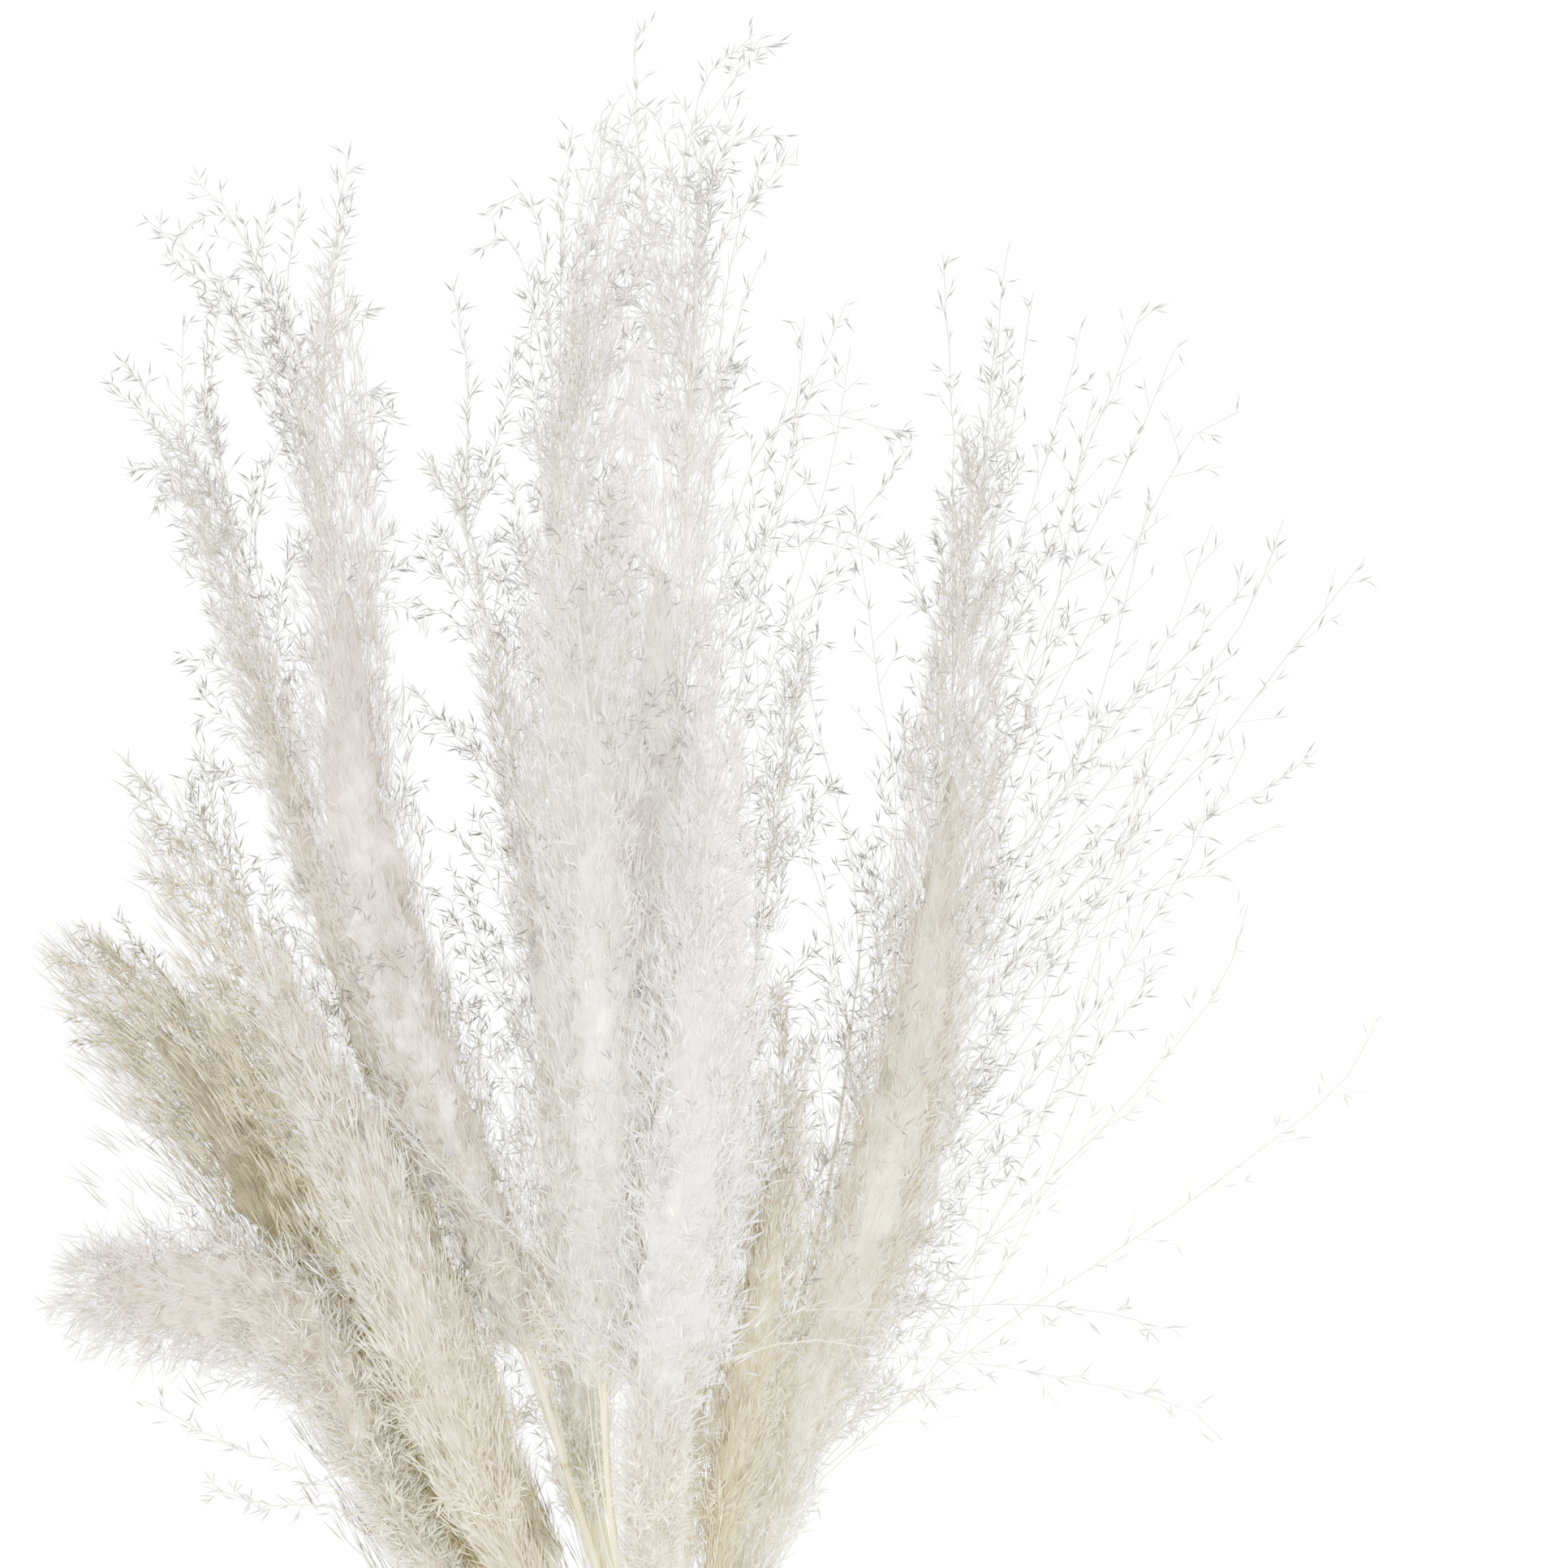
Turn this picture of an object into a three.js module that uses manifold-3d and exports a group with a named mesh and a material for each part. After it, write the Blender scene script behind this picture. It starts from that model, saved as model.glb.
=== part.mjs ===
// A tied bunch of fifteen large dried reeds, lying down, in millimetres.
// +X is across the bunch, +Y runs from the cut ends to the feathery tips and +Z is up.
// The origin is under the middle of the bunch, on the surface that it lies on.
import * as THREE from "three";
import { mergeVertices } from "three/addons/utils/BufferGeometryUtils.js";
import Module from "manifold-3d";

const wasm = await Module();
wasm.setup();

// The tie and the packed stems inside it
const TIE_MIDDLE = new THREE.Vector3(-10, -339, 13.7);
const STEM_COLUMN_PITCH = 5.6;
const STEM_ROW_PITCH = 5.1;
const STEM_ROWS = 4;
const STRAIGHT_IN_TIE = 14;
const CUT_END_Y = -538;
const CUT_END_STAGGER = 22;
const CUT_END_SPREAD_X = 1.7;
const CUT_END_SPREAD_Z = 1.25;
const CUT_END_DROP = 3.4;

// Stem and plume thicknesses. The plume is the last two of a stem route's five stretches.
const PLUME_START = 0.6;
const STEM_STATIONS = [0, 0.2, 0.4, 0.48, 0.6, 0.75, 0.9, 1];
const STEM_RADIUS_CUT = 2.2;
const STEM_RADIUS_PLUME = 1.9;
const STEM_RADIUS_TIP = 0.8;
const STEM_SIDES = 5;
const CORE_SIDES = 5;
const CORE_ROWS = 9;
const CORE_END = 0.92;
const CORE_BUMPS = [0.6, 1.3];
const CORE_OVER_STEM = 0.4;
const CORE_SWELL_FROM = 0.05;
const CORE_SWELL_SPAN = 0.9;
const CORE_SWELL_POWER = 0.8;

// Twine: turns side by side round the packed stems
const TWINE_TURNS = 5;
const TWINE_DIAMETER = 2.3;
const TIE_HALF_WIDTH = 12.2;
const TIE_HALF_HEIGHT = 11.5;
const TIE_SEGMENTS = 16;
const TWINE_GROOVE = 0.62;
const KNOT_HALF_SIZES = [4.6, 3.6, 3];
const KNOT_SHIFT = 2;
const TWINE_END_SIDES = 5;
const TWINE_END_STEPS = 5;
const TWINE_END_ABOVE_TOP = [
  [[3, 0, 0], [9, 5, 1], [15, 13, -4], [18, 22, -11]],
  [[1, -1, 0], [-6, -6, 1.5], [-12, -15, -2], [-20, -24, -9]],
];

// Sprays and branches
const CLEARANCE = 0.35;
const SPRAY_HALF_WIDTH = 5;
const SPRAY_FLATNESS = 0.25;
const SPRAY_ROOT_RADIUS = 1.6;
const SPRAY_LENGTHS = [0.75, 1.05];
const SPRAY_LEANS = [0.36, 0.62];
const SPRAY_OPENING = 0.12;
const SPRAY_CURL = 0.45;
const BRANCH_RADIUS = 0.5;
const BRANCH_LENGTHS = [0.85, 1.15];
const BRANCH_LEANS = [0.28, 0.62];
const SPIKELET_LENGTH = 7.5;
const SPIKELET_RADIUS = 1.15;
const SPIKELET_WIDEST = 0.55;
const SPIKELET_SPREAD = 0.5;
const PLACE_IN_STRETCH = 0.6;
const REACH_AT_BASE = 0.6;
const REACH_FULL_FROM = 0.2;
const REACH_LOST_AT_TIP = 0.55;
const LOWEST_GROWTH = 1.3;
const ROOTED_SHARE = 0.5;
const SPRAYS_PER_PLUME = 20;
const SPRAYS_SPAN = [0.03, 0.96];
const BRANCHES_PER_PLUME = 7;
const BRANCHES_SPAN = [0.02, 0.97];
const GOLDEN_ANGLE = 2.39996;
const QUARTER_TURN = Math.PI / 2;
const TURN_SLACK = 0.6;
const TRIES_TO_DOUBLE_SLACK = 6;
const TRIES = 40;
const SEED = 4177;
const FUSE_TOLERANCE = 0.03;

// Each reed: its place in the tie (column of the row, stems in that row, row from below),
// the plume's base, middle and tip, the core's radius, the spray length, and its colour.
const REEDS = [
  { name: "reed_left_low", slot: [0, 3, 0], base: [-91, -144, 20], middle: [-182, 160, 4.2],
    tip: [-245, 377, 26], core: 5, reach: 98, colour: 0xd9d3c8 },
  { name: "reed_left_inner", slot: [1, 3, 0], base: [-58, -120, 20], middle: [-90, 185, 4],
    tip: [-122, 350, 26], core: 4.8, reach: 90, colour: 0xdcd7cc },
  { name: "reed_right_short", slot: [2, 3, 0], base: [17, -174, 18], middle: [61, -11, 4.2],
    tip: [80, 134, 30], core: 5, reach: 92, colour: 0xd6cfbe },
  { name: "reed_far_left_low", slot: [0, 4, 1], base: [-110, -182, 42], middle: [-194, 20, 48],
    tip: [-284, 118, 40], core: 5.5, reach: 100, colour: 0xb8af96 },
  { name: "reed_centre_back", slot: [1, 4, 1], base: [-51, -174, 46], middle: [-74, 160, 60],
    tip: [-56, 480, 70], core: 5.5, reach: 120, colour: 0xdfdbd3 },
  { name: "reed_right_slim", slot: [2, 4, 1], base: [-4, -144, 48], middle: [28, 111, 60],
    tip: [46, 240, 76], core: 3.8, reach: 84, colour: 0xdcd6c9 },
  { name: "reed_right", slot: [3, 4, 1], base: [23, -185, 40], middle: [100, 73, 46],
    tip: [131, 356, 62], core: 6, reach: 120, colour: 0xdbd7cd },
  { name: "reed_far_left", slot: [0, 4, 2], base: [-99, -174, 70], middle: [-156, 8, 84],
    tip: [-250, 195, 66], core: 5.5, reach: 105, colour: 0xcdc5b0 },
  { name: "reed_left", slot: [1, 4, 2], base: [-72, -100, 76], middle: [-137, 130, 96],
    tip: [-194, 430, 92], core: 6, reach: 108, colour: 0xddd9d1 },
  { name: "reed_centre", slot: [2, 4, 2], base: [-23, -144, 78], middle: [-11, 160, 106],
    tip: [2, 490, 118], core: 6, reach: 122, colour: 0xe1dfdb },
  { name: "reed_low_right", slot: [3, 4, 2], base: [8, -174, 72], middle: [32, -33, 92],
    tip: [42, 88, 100], core: 5, reach: 80, colour: 0xc8bfa6 },
  { name: "reed_drooping", slot: [0, 4, 3], base: [-129, -163, 98], middle: [-186, -56, 110],
    tip: [-290, -46, 60], core: 6, reach: 86, colour: 0xd1ccc0 },
  { name: "reed_left_front", slot: [1, 4, 3], base: [-89, -163, 102], middle: [-137, -33, 124],
    tip: [-201, 111, 112], core: 5.5, reach: 90, colour: 0xd3cdbe },
  { name: "reed_centre_left", slot: [2, 4, 3], base: [-40, -144, 106], middle: [-40, 122, 148],
    tip: [-61, 347, 152], core: 5.8, reach: 112, colour: 0xe0ddd7 },
  { name: "reed_centre_front", slot: [3, 4, 3], base: [-20, -155, 112], middle: [-4, 27, 152],
    tip: [10, 225, 158], core: 6.5, reach: 100, colour: 0xe6e4de },
];

// Long single branches that stand out of the plumes: the reed, where along its plume each one
// starts (0 base, 1 tip), and then the points that it passes, the last one being its end.
const LONG_BRANCHES = [
  ["reed_right", 0.3, [148, 103, 52], [236, 198, 60], [281, 255, 62], [317, 301, 56]],
  ["reed_right", 0.27, [167, 106, 44], [232, 170, 46], [266, 185, 44], [298, 208, 36]],
  ["reed_right", 0.36, [167, 158, 60], [224, 225, 70], [258, 271, 74], [277, 318, 70]],
  ["reed_right", 0.45, [171, 236, 56], [205, 301, 66], [239, 362, 64], [258, 369, 58]],
  ["reed_right", 0.52, [167, 271, 48], [205, 347, 50], [228, 402, 44]],
  ["reed_right", 0.7, [146, 347, 70], [158, 424, 76]],
  ["reed_right", 0.86, [129, 400, 58], [137, 459, 56]],
  ["reed_right", 0.05, [91, -83, 40], [129, -37, 44], [205, 39, 40], [255, 100, 30], [266, 134, 24]],
  ["reed_right", 0.03, [86, -118, 34], [122, -79, 30], [163, -11, 26], [205, 103, 22], [220, 141, 16]],
  ["reed_right_short", 0.12, [68, -121, 20], [91, -106, 16], [122, -104, 8]],
  ["reed_centre_front", 0.2, [38, -50, 132], [91, -49, 124], [160, -50, 108], [205, -58, 92], [217, -70, 84]],
  ["reed_centre_front", 0.24, [-55, -33, 150], [-99, 5, 150], [-144, 54, 142]],
  ["reed_centre", 0.85, [0, 505, 128], [16, 536, 130], [44, 536, 122]],
  ["reed_centre", 0.78, [-26, 483, 128], [-28, 538, 126]],
  ["reed_centre", 0.6, [18, 445, 104], [32, 489, 100]],
  ["reed_centre", 0.52, [40, 360, 112], [103, 354, 104]],
  ["reed_centre", 0.5, [53, 377, 92], [70, 419, 86]],
  ["reed_centre_back", 0.8, [-66, 460, 62], [-68, 514, 56]],
  ["reed_centre_back", 0.78, [-82, 470, 76], [-103, 462, 68]],
  ["reed_left_inner", 0.88, [-114, 395, 30], [-120, 434, 34]],
  ["reed_left", 0.86, [-168, 453, 98], [-162, 489, 94]],
  ["reed_left", 0.84, [-212, 449, 90], [-239, 478, 78]],
  ["reed_left_low", 0.86, [-260, 370, 22], [-282, 398, 18]],
  ["reed_far_left", 0.8, [-224, 190, 78], [-238, 217, 84]],
  ["reed_drooping", 0.04, [-194, -127, 84], [-213, -124, 76], [-266, -102, 52]],
  ["reed_drooping", 0.12, [-175, -105, 96], [-224, -81, 88], [-262, -76, 70]],
];

function seededDraw(seed) {
  let state = seed >>> 0;
  return (low = 0, high = 1) => {
    state = (state + 0x6d2b79f5) >>> 0;
    let mixed = Math.imul(state ^ (state >>> 15), 1 | state);
    mixed = (mixed + Math.imul(mixed ^ (mixed >>> 7), 61 | mixed)) ^ mixed;
    return low + (high - low) * (((mixed ^ (mixed >>> 14)) >>> 0) / 4294967296);
  };
}

function vector(numbers) {
  return new THREE.Vector3(...numbers);
}

function toSolid(geometry) {
  const bare = geometry.clone();
  bare.deleteAttribute("normal");
  bare.deleteAttribute("uv");
  const merged = mergeVertices(bare, 1e-4);
  const mesh = new wasm.Mesh({
    numProp: 3,
    vertProperties: new Float32Array(merged.attributes.position.array),
    triVerts: new Uint32Array(merged.index.array),
  });
  return new wasm.Manifold(mesh);
}

function toGeometry(solid) {
  const mesh = solid.getMesh();
  const geometry = new THREE.BufferGeometry();
  geometry.setAttribute("position", new THREE.BufferAttribute(mesh.vertProperties, 3));
  geometry.setIndex(new THREE.BufferAttribute(mesh.triVerts, 1));
  geometry.computeVertexNormals();
  return geometry;
}

// A closed tapering rod: a cylinder whose rings are carried to the given points. The radius of
// ring i at corner k is radiusAt(i, k), and a last radius of 0 makes a point.
function rod(points, sides, radiusAt, flatness = 1, side = null) {
  const last = points.length - 1;
  const tipRadius = radiusAt(last, 0) === 0 ? 0 : 1;
  const geometry = new THREE.CylinderGeometry(tipRadius, 1, 1, sides, last);
  const frames = [];
  let normal = side ? side.clone() : null;
  for (let i = 0; i <= last; i += 1) {
    const ahead = points[Math.min(i + 1, last)];
    const behind = points[Math.max(i - 1, 0)];
    const along = ahead.clone().sub(behind).normalize();
    if (!normal) {
      normal = new THREE.Vector3(0, 0, 1);
    }
    normal = normal.clone().addScaledVector(along, -normal.dot(along)).normalize();
    frames.push({ normal, across: normal.clone().cross(along).negate() });
  }
  const position = geometry.attributes.position;
  for (let v = 0; v < position.count; v += 1) {
    const x = position.getX(v);
    const z = position.getZ(v);
    const ring = Math.round((position.getY(v) + 0.5) * last);
    const corner = Math.round((Math.atan2(x, z) / (2 * Math.PI)) * sides + sides) % sides;
    const radius = Math.max(radiusAt(ring, corner), 0);
    const { normal: up, across } = frames[ring];
    const placed = points[ring].clone();
    placed.addScaledVector(across, x * radius);
    placed.addScaledVector(up, z * radius * flatness);
    position.setXYZ(v, placed.x, placed.y, placed.z);
  }
  return toSolid(geometry);
}

function stemRoute(reed, draw) {
  const [column, inRow, row] = reed.slot;
  const x = TIE_MIDDLE.x + (column - (inRow - 1) / 2) * STEM_COLUMN_PITCH;
  const z = TIE_MIDDLE.z + (row - (STEM_ROWS - 1) / 2) * STEM_ROW_PITCH;
  const cutX = TIE_MIDDLE.x + (x - TIE_MIDDLE.x) * CUT_END_SPREAD_X;
  const cutZ = TIE_MIDDLE.z + (z - TIE_MIDDLE.z) * CUT_END_SPREAD_Z - CUT_END_DROP;
  const cutY = CUT_END_Y + draw(0, CUT_END_STAGGER);
  return new THREE.CatmullRomCurve3([
    new THREE.Vector3(cutX, cutY, Math.max(cutZ, STEM_RADIUS_CUT)),
    new THREE.Vector3(x, TIE_MIDDLE.y - STRAIGHT_IN_TIE, z),
    new THREE.Vector3(x, TIE_MIDDLE.y + STRAIGHT_IN_TIE, z),
    vector(reed.base),
    vector(reed.middle),
    vector(reed.tip),
  ], false, "centripetal");
}

// The route's parameter for a place along the plume, 0 at its base and 1 at its tip.
function plumeParameter(along) {
  return PLUME_START + (1 - PLUME_START) * along;
}

// The core swells as a sine from the base to the middle and back, and always holds the stem.
function coreRadius(reed, along) {
  const phase = CORE_SWELL_FROM + CORE_SWELL_SPAN * Math.min(along / CORE_END, 1);
  const swell = Math.pow(Math.sin(Math.PI * phase), CORE_SWELL_POWER);
  return Math.max(STEM_RADIUS_PLUME + CORE_OVER_STEM, reed.core * swell);
}

// Every rod laid so far, as straight capsules, so that no two reeds touch.
const capsules = [];

// The shortest distance between the straight lines from a to b and from c to d.
function distanceBetween(a, b, c, d) {
  const first = b.clone().sub(a);
  const second = d.clone().sub(c);
  const offset = a.clone().sub(c);
  const firstSq = first.lengthSq();
  const secondSq = second.lengthSq();
  const mixed = first.dot(second);
  const firstOffset = first.dot(offset);
  const secondOffset = second.dot(offset);
  const spread = firstSq * secondSq - mixed * mixed;
  let s = 0;
  if (spread > 1e-9) {
    s = THREE.MathUtils.clamp((mixed * secondOffset - firstOffset * secondSq) / spread, 0, 1);
  }
  let t = (mixed * s + secondOffset) / secondSq;
  if (t < 0 || t > 1) {
    t = THREE.MathUtils.clamp(t, 0, 1);
    s = THREE.MathUtils.clamp((mixed * t - firstOffset) / firstSq, 0, 1);
  }
  return a.clone().addScaledVector(first, s).distanceTo(c.clone().addScaledVector(second, t));
}

// Growths of one reed may meet where they are rooted, but not further out.
function outerPart(start, end, rooted) {
  return rooted ? start.clone().lerp(end, ROOTED_SHARE) : start;
}

function isClear(owner, points, radius) {
  for (let i = 0; i + 1 < points.length; i += 1) {
    const outerStart = outerPart(points[i], points[i + 1], i === 0);
    for (const other of capsules) {
      const same = other.owner === owner;
      if (same && !other.growth) {
        continue;
      }
      const start = same ? outerStart : points[i];
      const otherStart = same ? other.outerStart : other.start;
      const needed = radius + other.radius + CLEARANCE;
      if (distanceBetween(start, points[i + 1], otherStart, other.end) < needed) {
        return false;
      }
    }
  }
  return true;
}

function remember(owner, points, radiusAt, growth = true) {
  for (let i = 0; i + 1 < points.length; i += 1) {
    const radius = Math.max(radiusAt(i), radiusAt(i + 1));
    const [start, end] = [points[i], points[i + 1]];
    capsules.push({ owner, start, end, radius, growth, outerStart: outerPart(start, end, i === 0) });
  }
}

function layStem(reed, route) {
  const points = STEM_STATIONS.map((station) => route.getPoint(station));
  const radiusAt = (ring) => {
    const below = STEM_STATIONS[ring] / PLUME_START;
    if (below < 1) {
      return THREE.MathUtils.lerp(STEM_RADIUS_CUT, STEM_RADIUS_PLUME, below);
    }
    const along = (STEM_STATIONS[ring] - PLUME_START) / (1 - PLUME_START);
    return THREE.MathUtils.lerp(STEM_RADIUS_PLUME, STEM_RADIUS_TIP, along);
  };
  remember(reed.name, points, radiusAt, false);
  return rod(points, STEM_SIDES, radiusAt);
}

// The dense middle of the plume, an uneven spindle that the sprays stand out of.
function layCore(reed, route, draw) {
  const rings = Array.from({ length: CORE_ROWS }, (_, ring) => (CORE_END * ring) / (CORE_ROWS - 1));
  const points = rings.map((along) => route.getPoint(plumeParameter(along)));
  const bumps = rings.map(() => Array.from({ length: CORE_SIDES }, () => draw(...CORE_BUMPS)));
  const radiusAt = (ring, corner) => coreRadius(reed, rings[ring]) * bumps[ring][corner];
  const widest = (ring) => coreRadius(reed, rings[ring]) * CORE_BUMPS[1];
  remember(reed.name, points, widest, false);
  return rod(points, CORE_SIDES, radiusAt);
}

// A direction that leaves the plume's middle line at the angle lean, all round it by turn.
function outward(route, along, turn, lean) {
  const tangent = route.getTangent(plumeParameter(along));
  const side = new THREE.Vector3(0, 0, 1).cross(tangent).normalize();
  const up = tangent.clone().cross(side).normalize();
  const ray = side.multiplyScalar(Math.cos(turn)).addScaledVector(up, Math.sin(turn));
  return tangent.multiplyScalar(Math.cos(lean)).addScaledVector(ray, Math.sin(lean));
}

// How far growths reach: shorter at the plume's base, full soon after, and shorter to the tip.
function reachAt(reed, along) {
  const base = THREE.MathUtils.lerp(REACH_AT_BASE, 1, Math.min(along / REACH_FULL_FROM, 1));
  return reed.reach * base * (1 - REACH_LOST_AT_TIP * along);
}

function keepAbove(point) {
  point.z = Math.max(point.z, LOWEST_GROWTH);
  return point;
}

// One spray: a slim arched blade, widest near its middle, rooted on the plume's middle line.
function laySpray(reed, route, along, turn, draw) {
  const length = reachAt(reed, along) * draw(...SPRAY_LENGTHS);
  const lean = draw(...SPRAY_LEANS);
  const root = route.getPoint(plumeParameter(along));
  const start = outward(route, along, turn, lean + SPRAY_OPENING);
  const bent = outward(route, along, turn, lean * SPRAY_CURL);
  const middle = keepAbove(root.clone().addScaledVector(start, length * 0.5));
  const tip = keepAbove(middle.clone().addScaledVector(bent, length * 0.5));
  const points = [root, middle, tip];
  if (!isClear(reed.name, points, SPRAY_HALF_WIDTH)) {
    return null;
  }
  const radiusAt = (ring) => [SPRAY_ROOT_RADIUS, SPRAY_HALF_WIDTH, 0][ring];
  remember(reed.name, points, radiusAt);
  const thickness = outward(route, along, turn + QUARTER_TURN, QUARTER_TURN);
  return rod(points, 3, radiusAt, SPRAY_FLATNESS, thickness);
}

// One thin branch that ends in a spikelet.
function layBranch(reed, route, along, turn, draw) {
  const length = reachAt(reed, along) * draw(...BRANCH_LENGTHS);
  const root = route.getPoint(plumeParameter(along));
  const ray = outward(route, along, turn, draw(...BRANCH_LEANS));
  const reach = (distance) => keepAbove(root.clone().addScaledVector(ray, distance));
  const points = [
    root,
    reach(length - SPIKELET_LENGTH),
    reach(length - (1 - SPIKELET_WIDEST) * SPIKELET_LENGTH),
    reach(length),
  ];
  if (!isClear(reed.name, points, SPIKELET_RADIUS)) {
    return null;
  }
  const radiusAt = (ring) => [BRANCH_RADIUS, BRANCH_RADIUS, SPIKELET_RADIUS, 0][ring];
  remember(reed.name, points, radiusAt);
  return rod(points, 3, radiusAt);
}

// A long branch along its own curve, with a spikelet on every other of its stretches.
function layLongBranch(reed, route, from, through) {
  const root = route.getPoint(plumeParameter(from));
  const curve = new THREE.CatmullRomCurve3([root, ...through.map(vector)]);
  const steps = through.length + 1;
  const points = curve.getSpacedPoints(steps);
  const thin = (ring) => (ring === steps ? 0 : BRANCH_RADIUS);
  if (!isClear(reed.name, points, SPIKELET_RADIUS)) {
    throw new Error(`${reed.name}: the long branch to ${through.at(-1)} is not clear`);
  }
  const grown = [points];
  const pieces = [rod(points, 3, thin)];
  for (let station = steps; station > 1; station -= 2) {
    const at = points[station - 1].clone().lerp(points[station], PLACE_IN_STRETCH);
    const along = points[station].clone().sub(points[station - 1]).normalize();
    const across = new THREE.Vector3(0, 0, 1).cross(along).normalize();
    const sign = station % 4 < 2 ? 1 : -1;
    const ray = along.addScaledVector(across, SPIKELET_SPREAD * sign).normalize();
    const ends = [-BRANCH_RADIUS, SPIKELET_WIDEST * SPIKELET_LENGTH, SPIKELET_LENGTH];
    const spikelet = ends.map((distance) => at.clone().addScaledVector(ray, distance));
    if (isClear(reed.name, spikelet, SPIKELET_RADIUS)) {
      grown.push(spikelet);
      pieces.push(rod(spikelet, 3, (ring) => [BRANCH_RADIUS, SPIKELET_RADIUS, 0][ring]));
    }
  }
  grown.forEach((line) => remember(reed.name, line, () => SPIKELET_RADIUS));
  return pieces;
}

// Places count growths on a plume evenly: the golden angle turns each one on from the last, and
// one that would touch another reed is drawn again, a little more freely each time.
function placeGrowths(count, [from, to], reed, route, draw, lay) {
  const pieces = [];
  const firstTurn = draw(0, 4 * QUARTER_TURN);
  for (let i = 0; i < count; i += 1) {
    for (let attempt = 0; attempt < TRIES; attempt += 1) {
      const along = from + ((to - from) * (i + draw(0, 1))) / count;
      const slack = TURN_SLACK * (1 + attempt / TRIES_TO_DOUBLE_SLACK);
      const turn = firstTurn + i * GOLDEN_ANGLE + draw(-slack, slack);
      const piece = lay(reed, route, along, turn, draw);
      if (piece) {
        pieces.push(piece);
        break;
      }
    }
  }
  return pieces;
}

// What would reach under the surface is pressed flat on it.
const BELOW_SURFACE = toSolid(new THREE.BoxGeometry(900, 1400, 60).translate(0, 0, -30));

// One closed body: the union of the pieces, without specks smaller than the tolerance.
function fuse(pieces) {
  const whole = wasm.Manifold.union(pieces).subtract(BELOW_SURFACE).simplify(FUSE_TOLERANCE);
  const bodies = whole.decompose().sort((a, b) => b.volume() - a.volume());
  return bodies[0];
}

// The band's inner half size at an angle round the packed stems: a rounded rectangle.
function tieOutline(angle) {
  const x = Math.abs(Math.cos(angle)) / TIE_HALF_WIDTH;
  const z = Math.abs(Math.sin(angle)) / TIE_HALF_HEIGHT;
  return Math.pow(x ** 4 + z ** 4, -0.25);
}

// Turns of twine side by side as one ribbed band that follows the outline.
function tieBand() {
  const width = TWINE_TURNS * TWINE_DIAMETER;
  const groove = 1 + TWINE_GROOVE * TWINE_DIAMETER;
  const crest = 1 + TWINE_DIAMETER;
  const profile = [new THREE.Vector2(1, -width / 2)];
  for (let turn = 0; turn < TWINE_TURNS; turn += 1) {
    const low = -width / 2 + turn * TWINE_DIAMETER;
    profile.push(new THREE.Vector2(groove, low));
    profile.push(new THREE.Vector2(crest, low + TWINE_DIAMETER / 2));
  }
  profile.push(new THREE.Vector2(groove, width / 2));
  profile.push(new THREE.Vector2(1, width / 2));
  profile.push(profile[0].clone());
  const band = new THREE.LatheGeometry(profile, TIE_SEGMENTS);
  const position = band.attributes.position;
  for (let v = 0; v < position.count; v += 1) {
    const angle = Math.atan2(position.getZ(v), position.getX(v));
    const thickness = Math.hypot(position.getX(v), position.getZ(v)) - 1;
    const radius = tieOutline(angle) + thickness;
    position.setXYZ(v, radius * Math.cos(angle), position.getY(v), radius * Math.sin(angle));
  }
  return toSolid(band);
}

// The knot on top of the band, and the two ends of the twine.
function tieKnot() {
  const top = TIE_HALF_HEIGHT + TWINE_DIAMETER;
  const knot = new THREE.SphereGeometry(1, 8, 5).scale(...KNOT_HALF_SIZES).translate(KNOT_SHIFT, 0, top);
  const pieces = [toSolid(knot)];
  for (const end of TWINE_END_ABOVE_TOP) {
    const curve = new THREE.CatmullRomCurve3(end.map(([x, y, z]) => new THREE.Vector3(x, y, top + z)));
    const points = curve.getSpacedPoints(TWINE_END_STEPS);
    pieces.push(rod(points, TWINE_END_SIDES, () => TWINE_DIAMETER / 2));
  }
  return pieces;
}

function material(colour, roughness) {
  return new THREE.MeshStandardMaterial({ color: colour, roughness, metalness: 0 });
}

function addMesh(group, name, solid, finish) {
  const mesh = new THREE.Mesh(toGeometry(solid), finish);
  mesh.name = name;
  group.add(mesh);
}

const group = new THREE.Group();
const draw = seededDraw(SEED);

const growing = REEDS.map((reed) => {
  const route = stemRoute(reed, draw);
  return { reed, route, pieces: [layStem(reed, route), layCore(reed, route, draw)] };
});

for (const [name, from, ...through] of LONG_BRANCHES) {
  const { reed, route, pieces } = growing.find((entry) => entry.reed.name === name);
  pieces.push(...layLongBranch(reed, route, from, through));
}

for (const { reed, route, pieces } of growing) {
  pieces.push(...placeGrowths(BRANCHES_PER_PLUME, BRANCHES_SPAN, reed, route, draw, layBranch));
}

for (const { reed, route, pieces } of growing) {
  pieces.push(...placeGrowths(SPRAYS_PER_PLUME, SPRAYS_SPAN, reed, route, draw, laySpray));
}

for (const { reed, pieces } of growing) {
  addMesh(group, reed.name, fuse(pieces), material(reed.colour, 0.85));
}

const tiePieces = [tieBand(), ...tieKnot()].map((piece) => piece.translate(TIE_MIDDLE.toArray()));
addMesh(group, "twine_tie", fuse(tiePieces), material(0xc2a878, 0.9));

export default group;
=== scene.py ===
"""A lying bunch of fifteen dried reeds: silky plumes on straw stems, held by a wound twine tie.

Lengths in the tables are millimetres in the part's own frame: +X is across the bunch, +Y runs
from the cut stem ends to the plume tips and +Z is up. Every mesh is made in metres.
"""
import logging
import math
from dataclasses import dataclass
from enum import Enum
from typing import Callable, Optional, Sequence, Union

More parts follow.
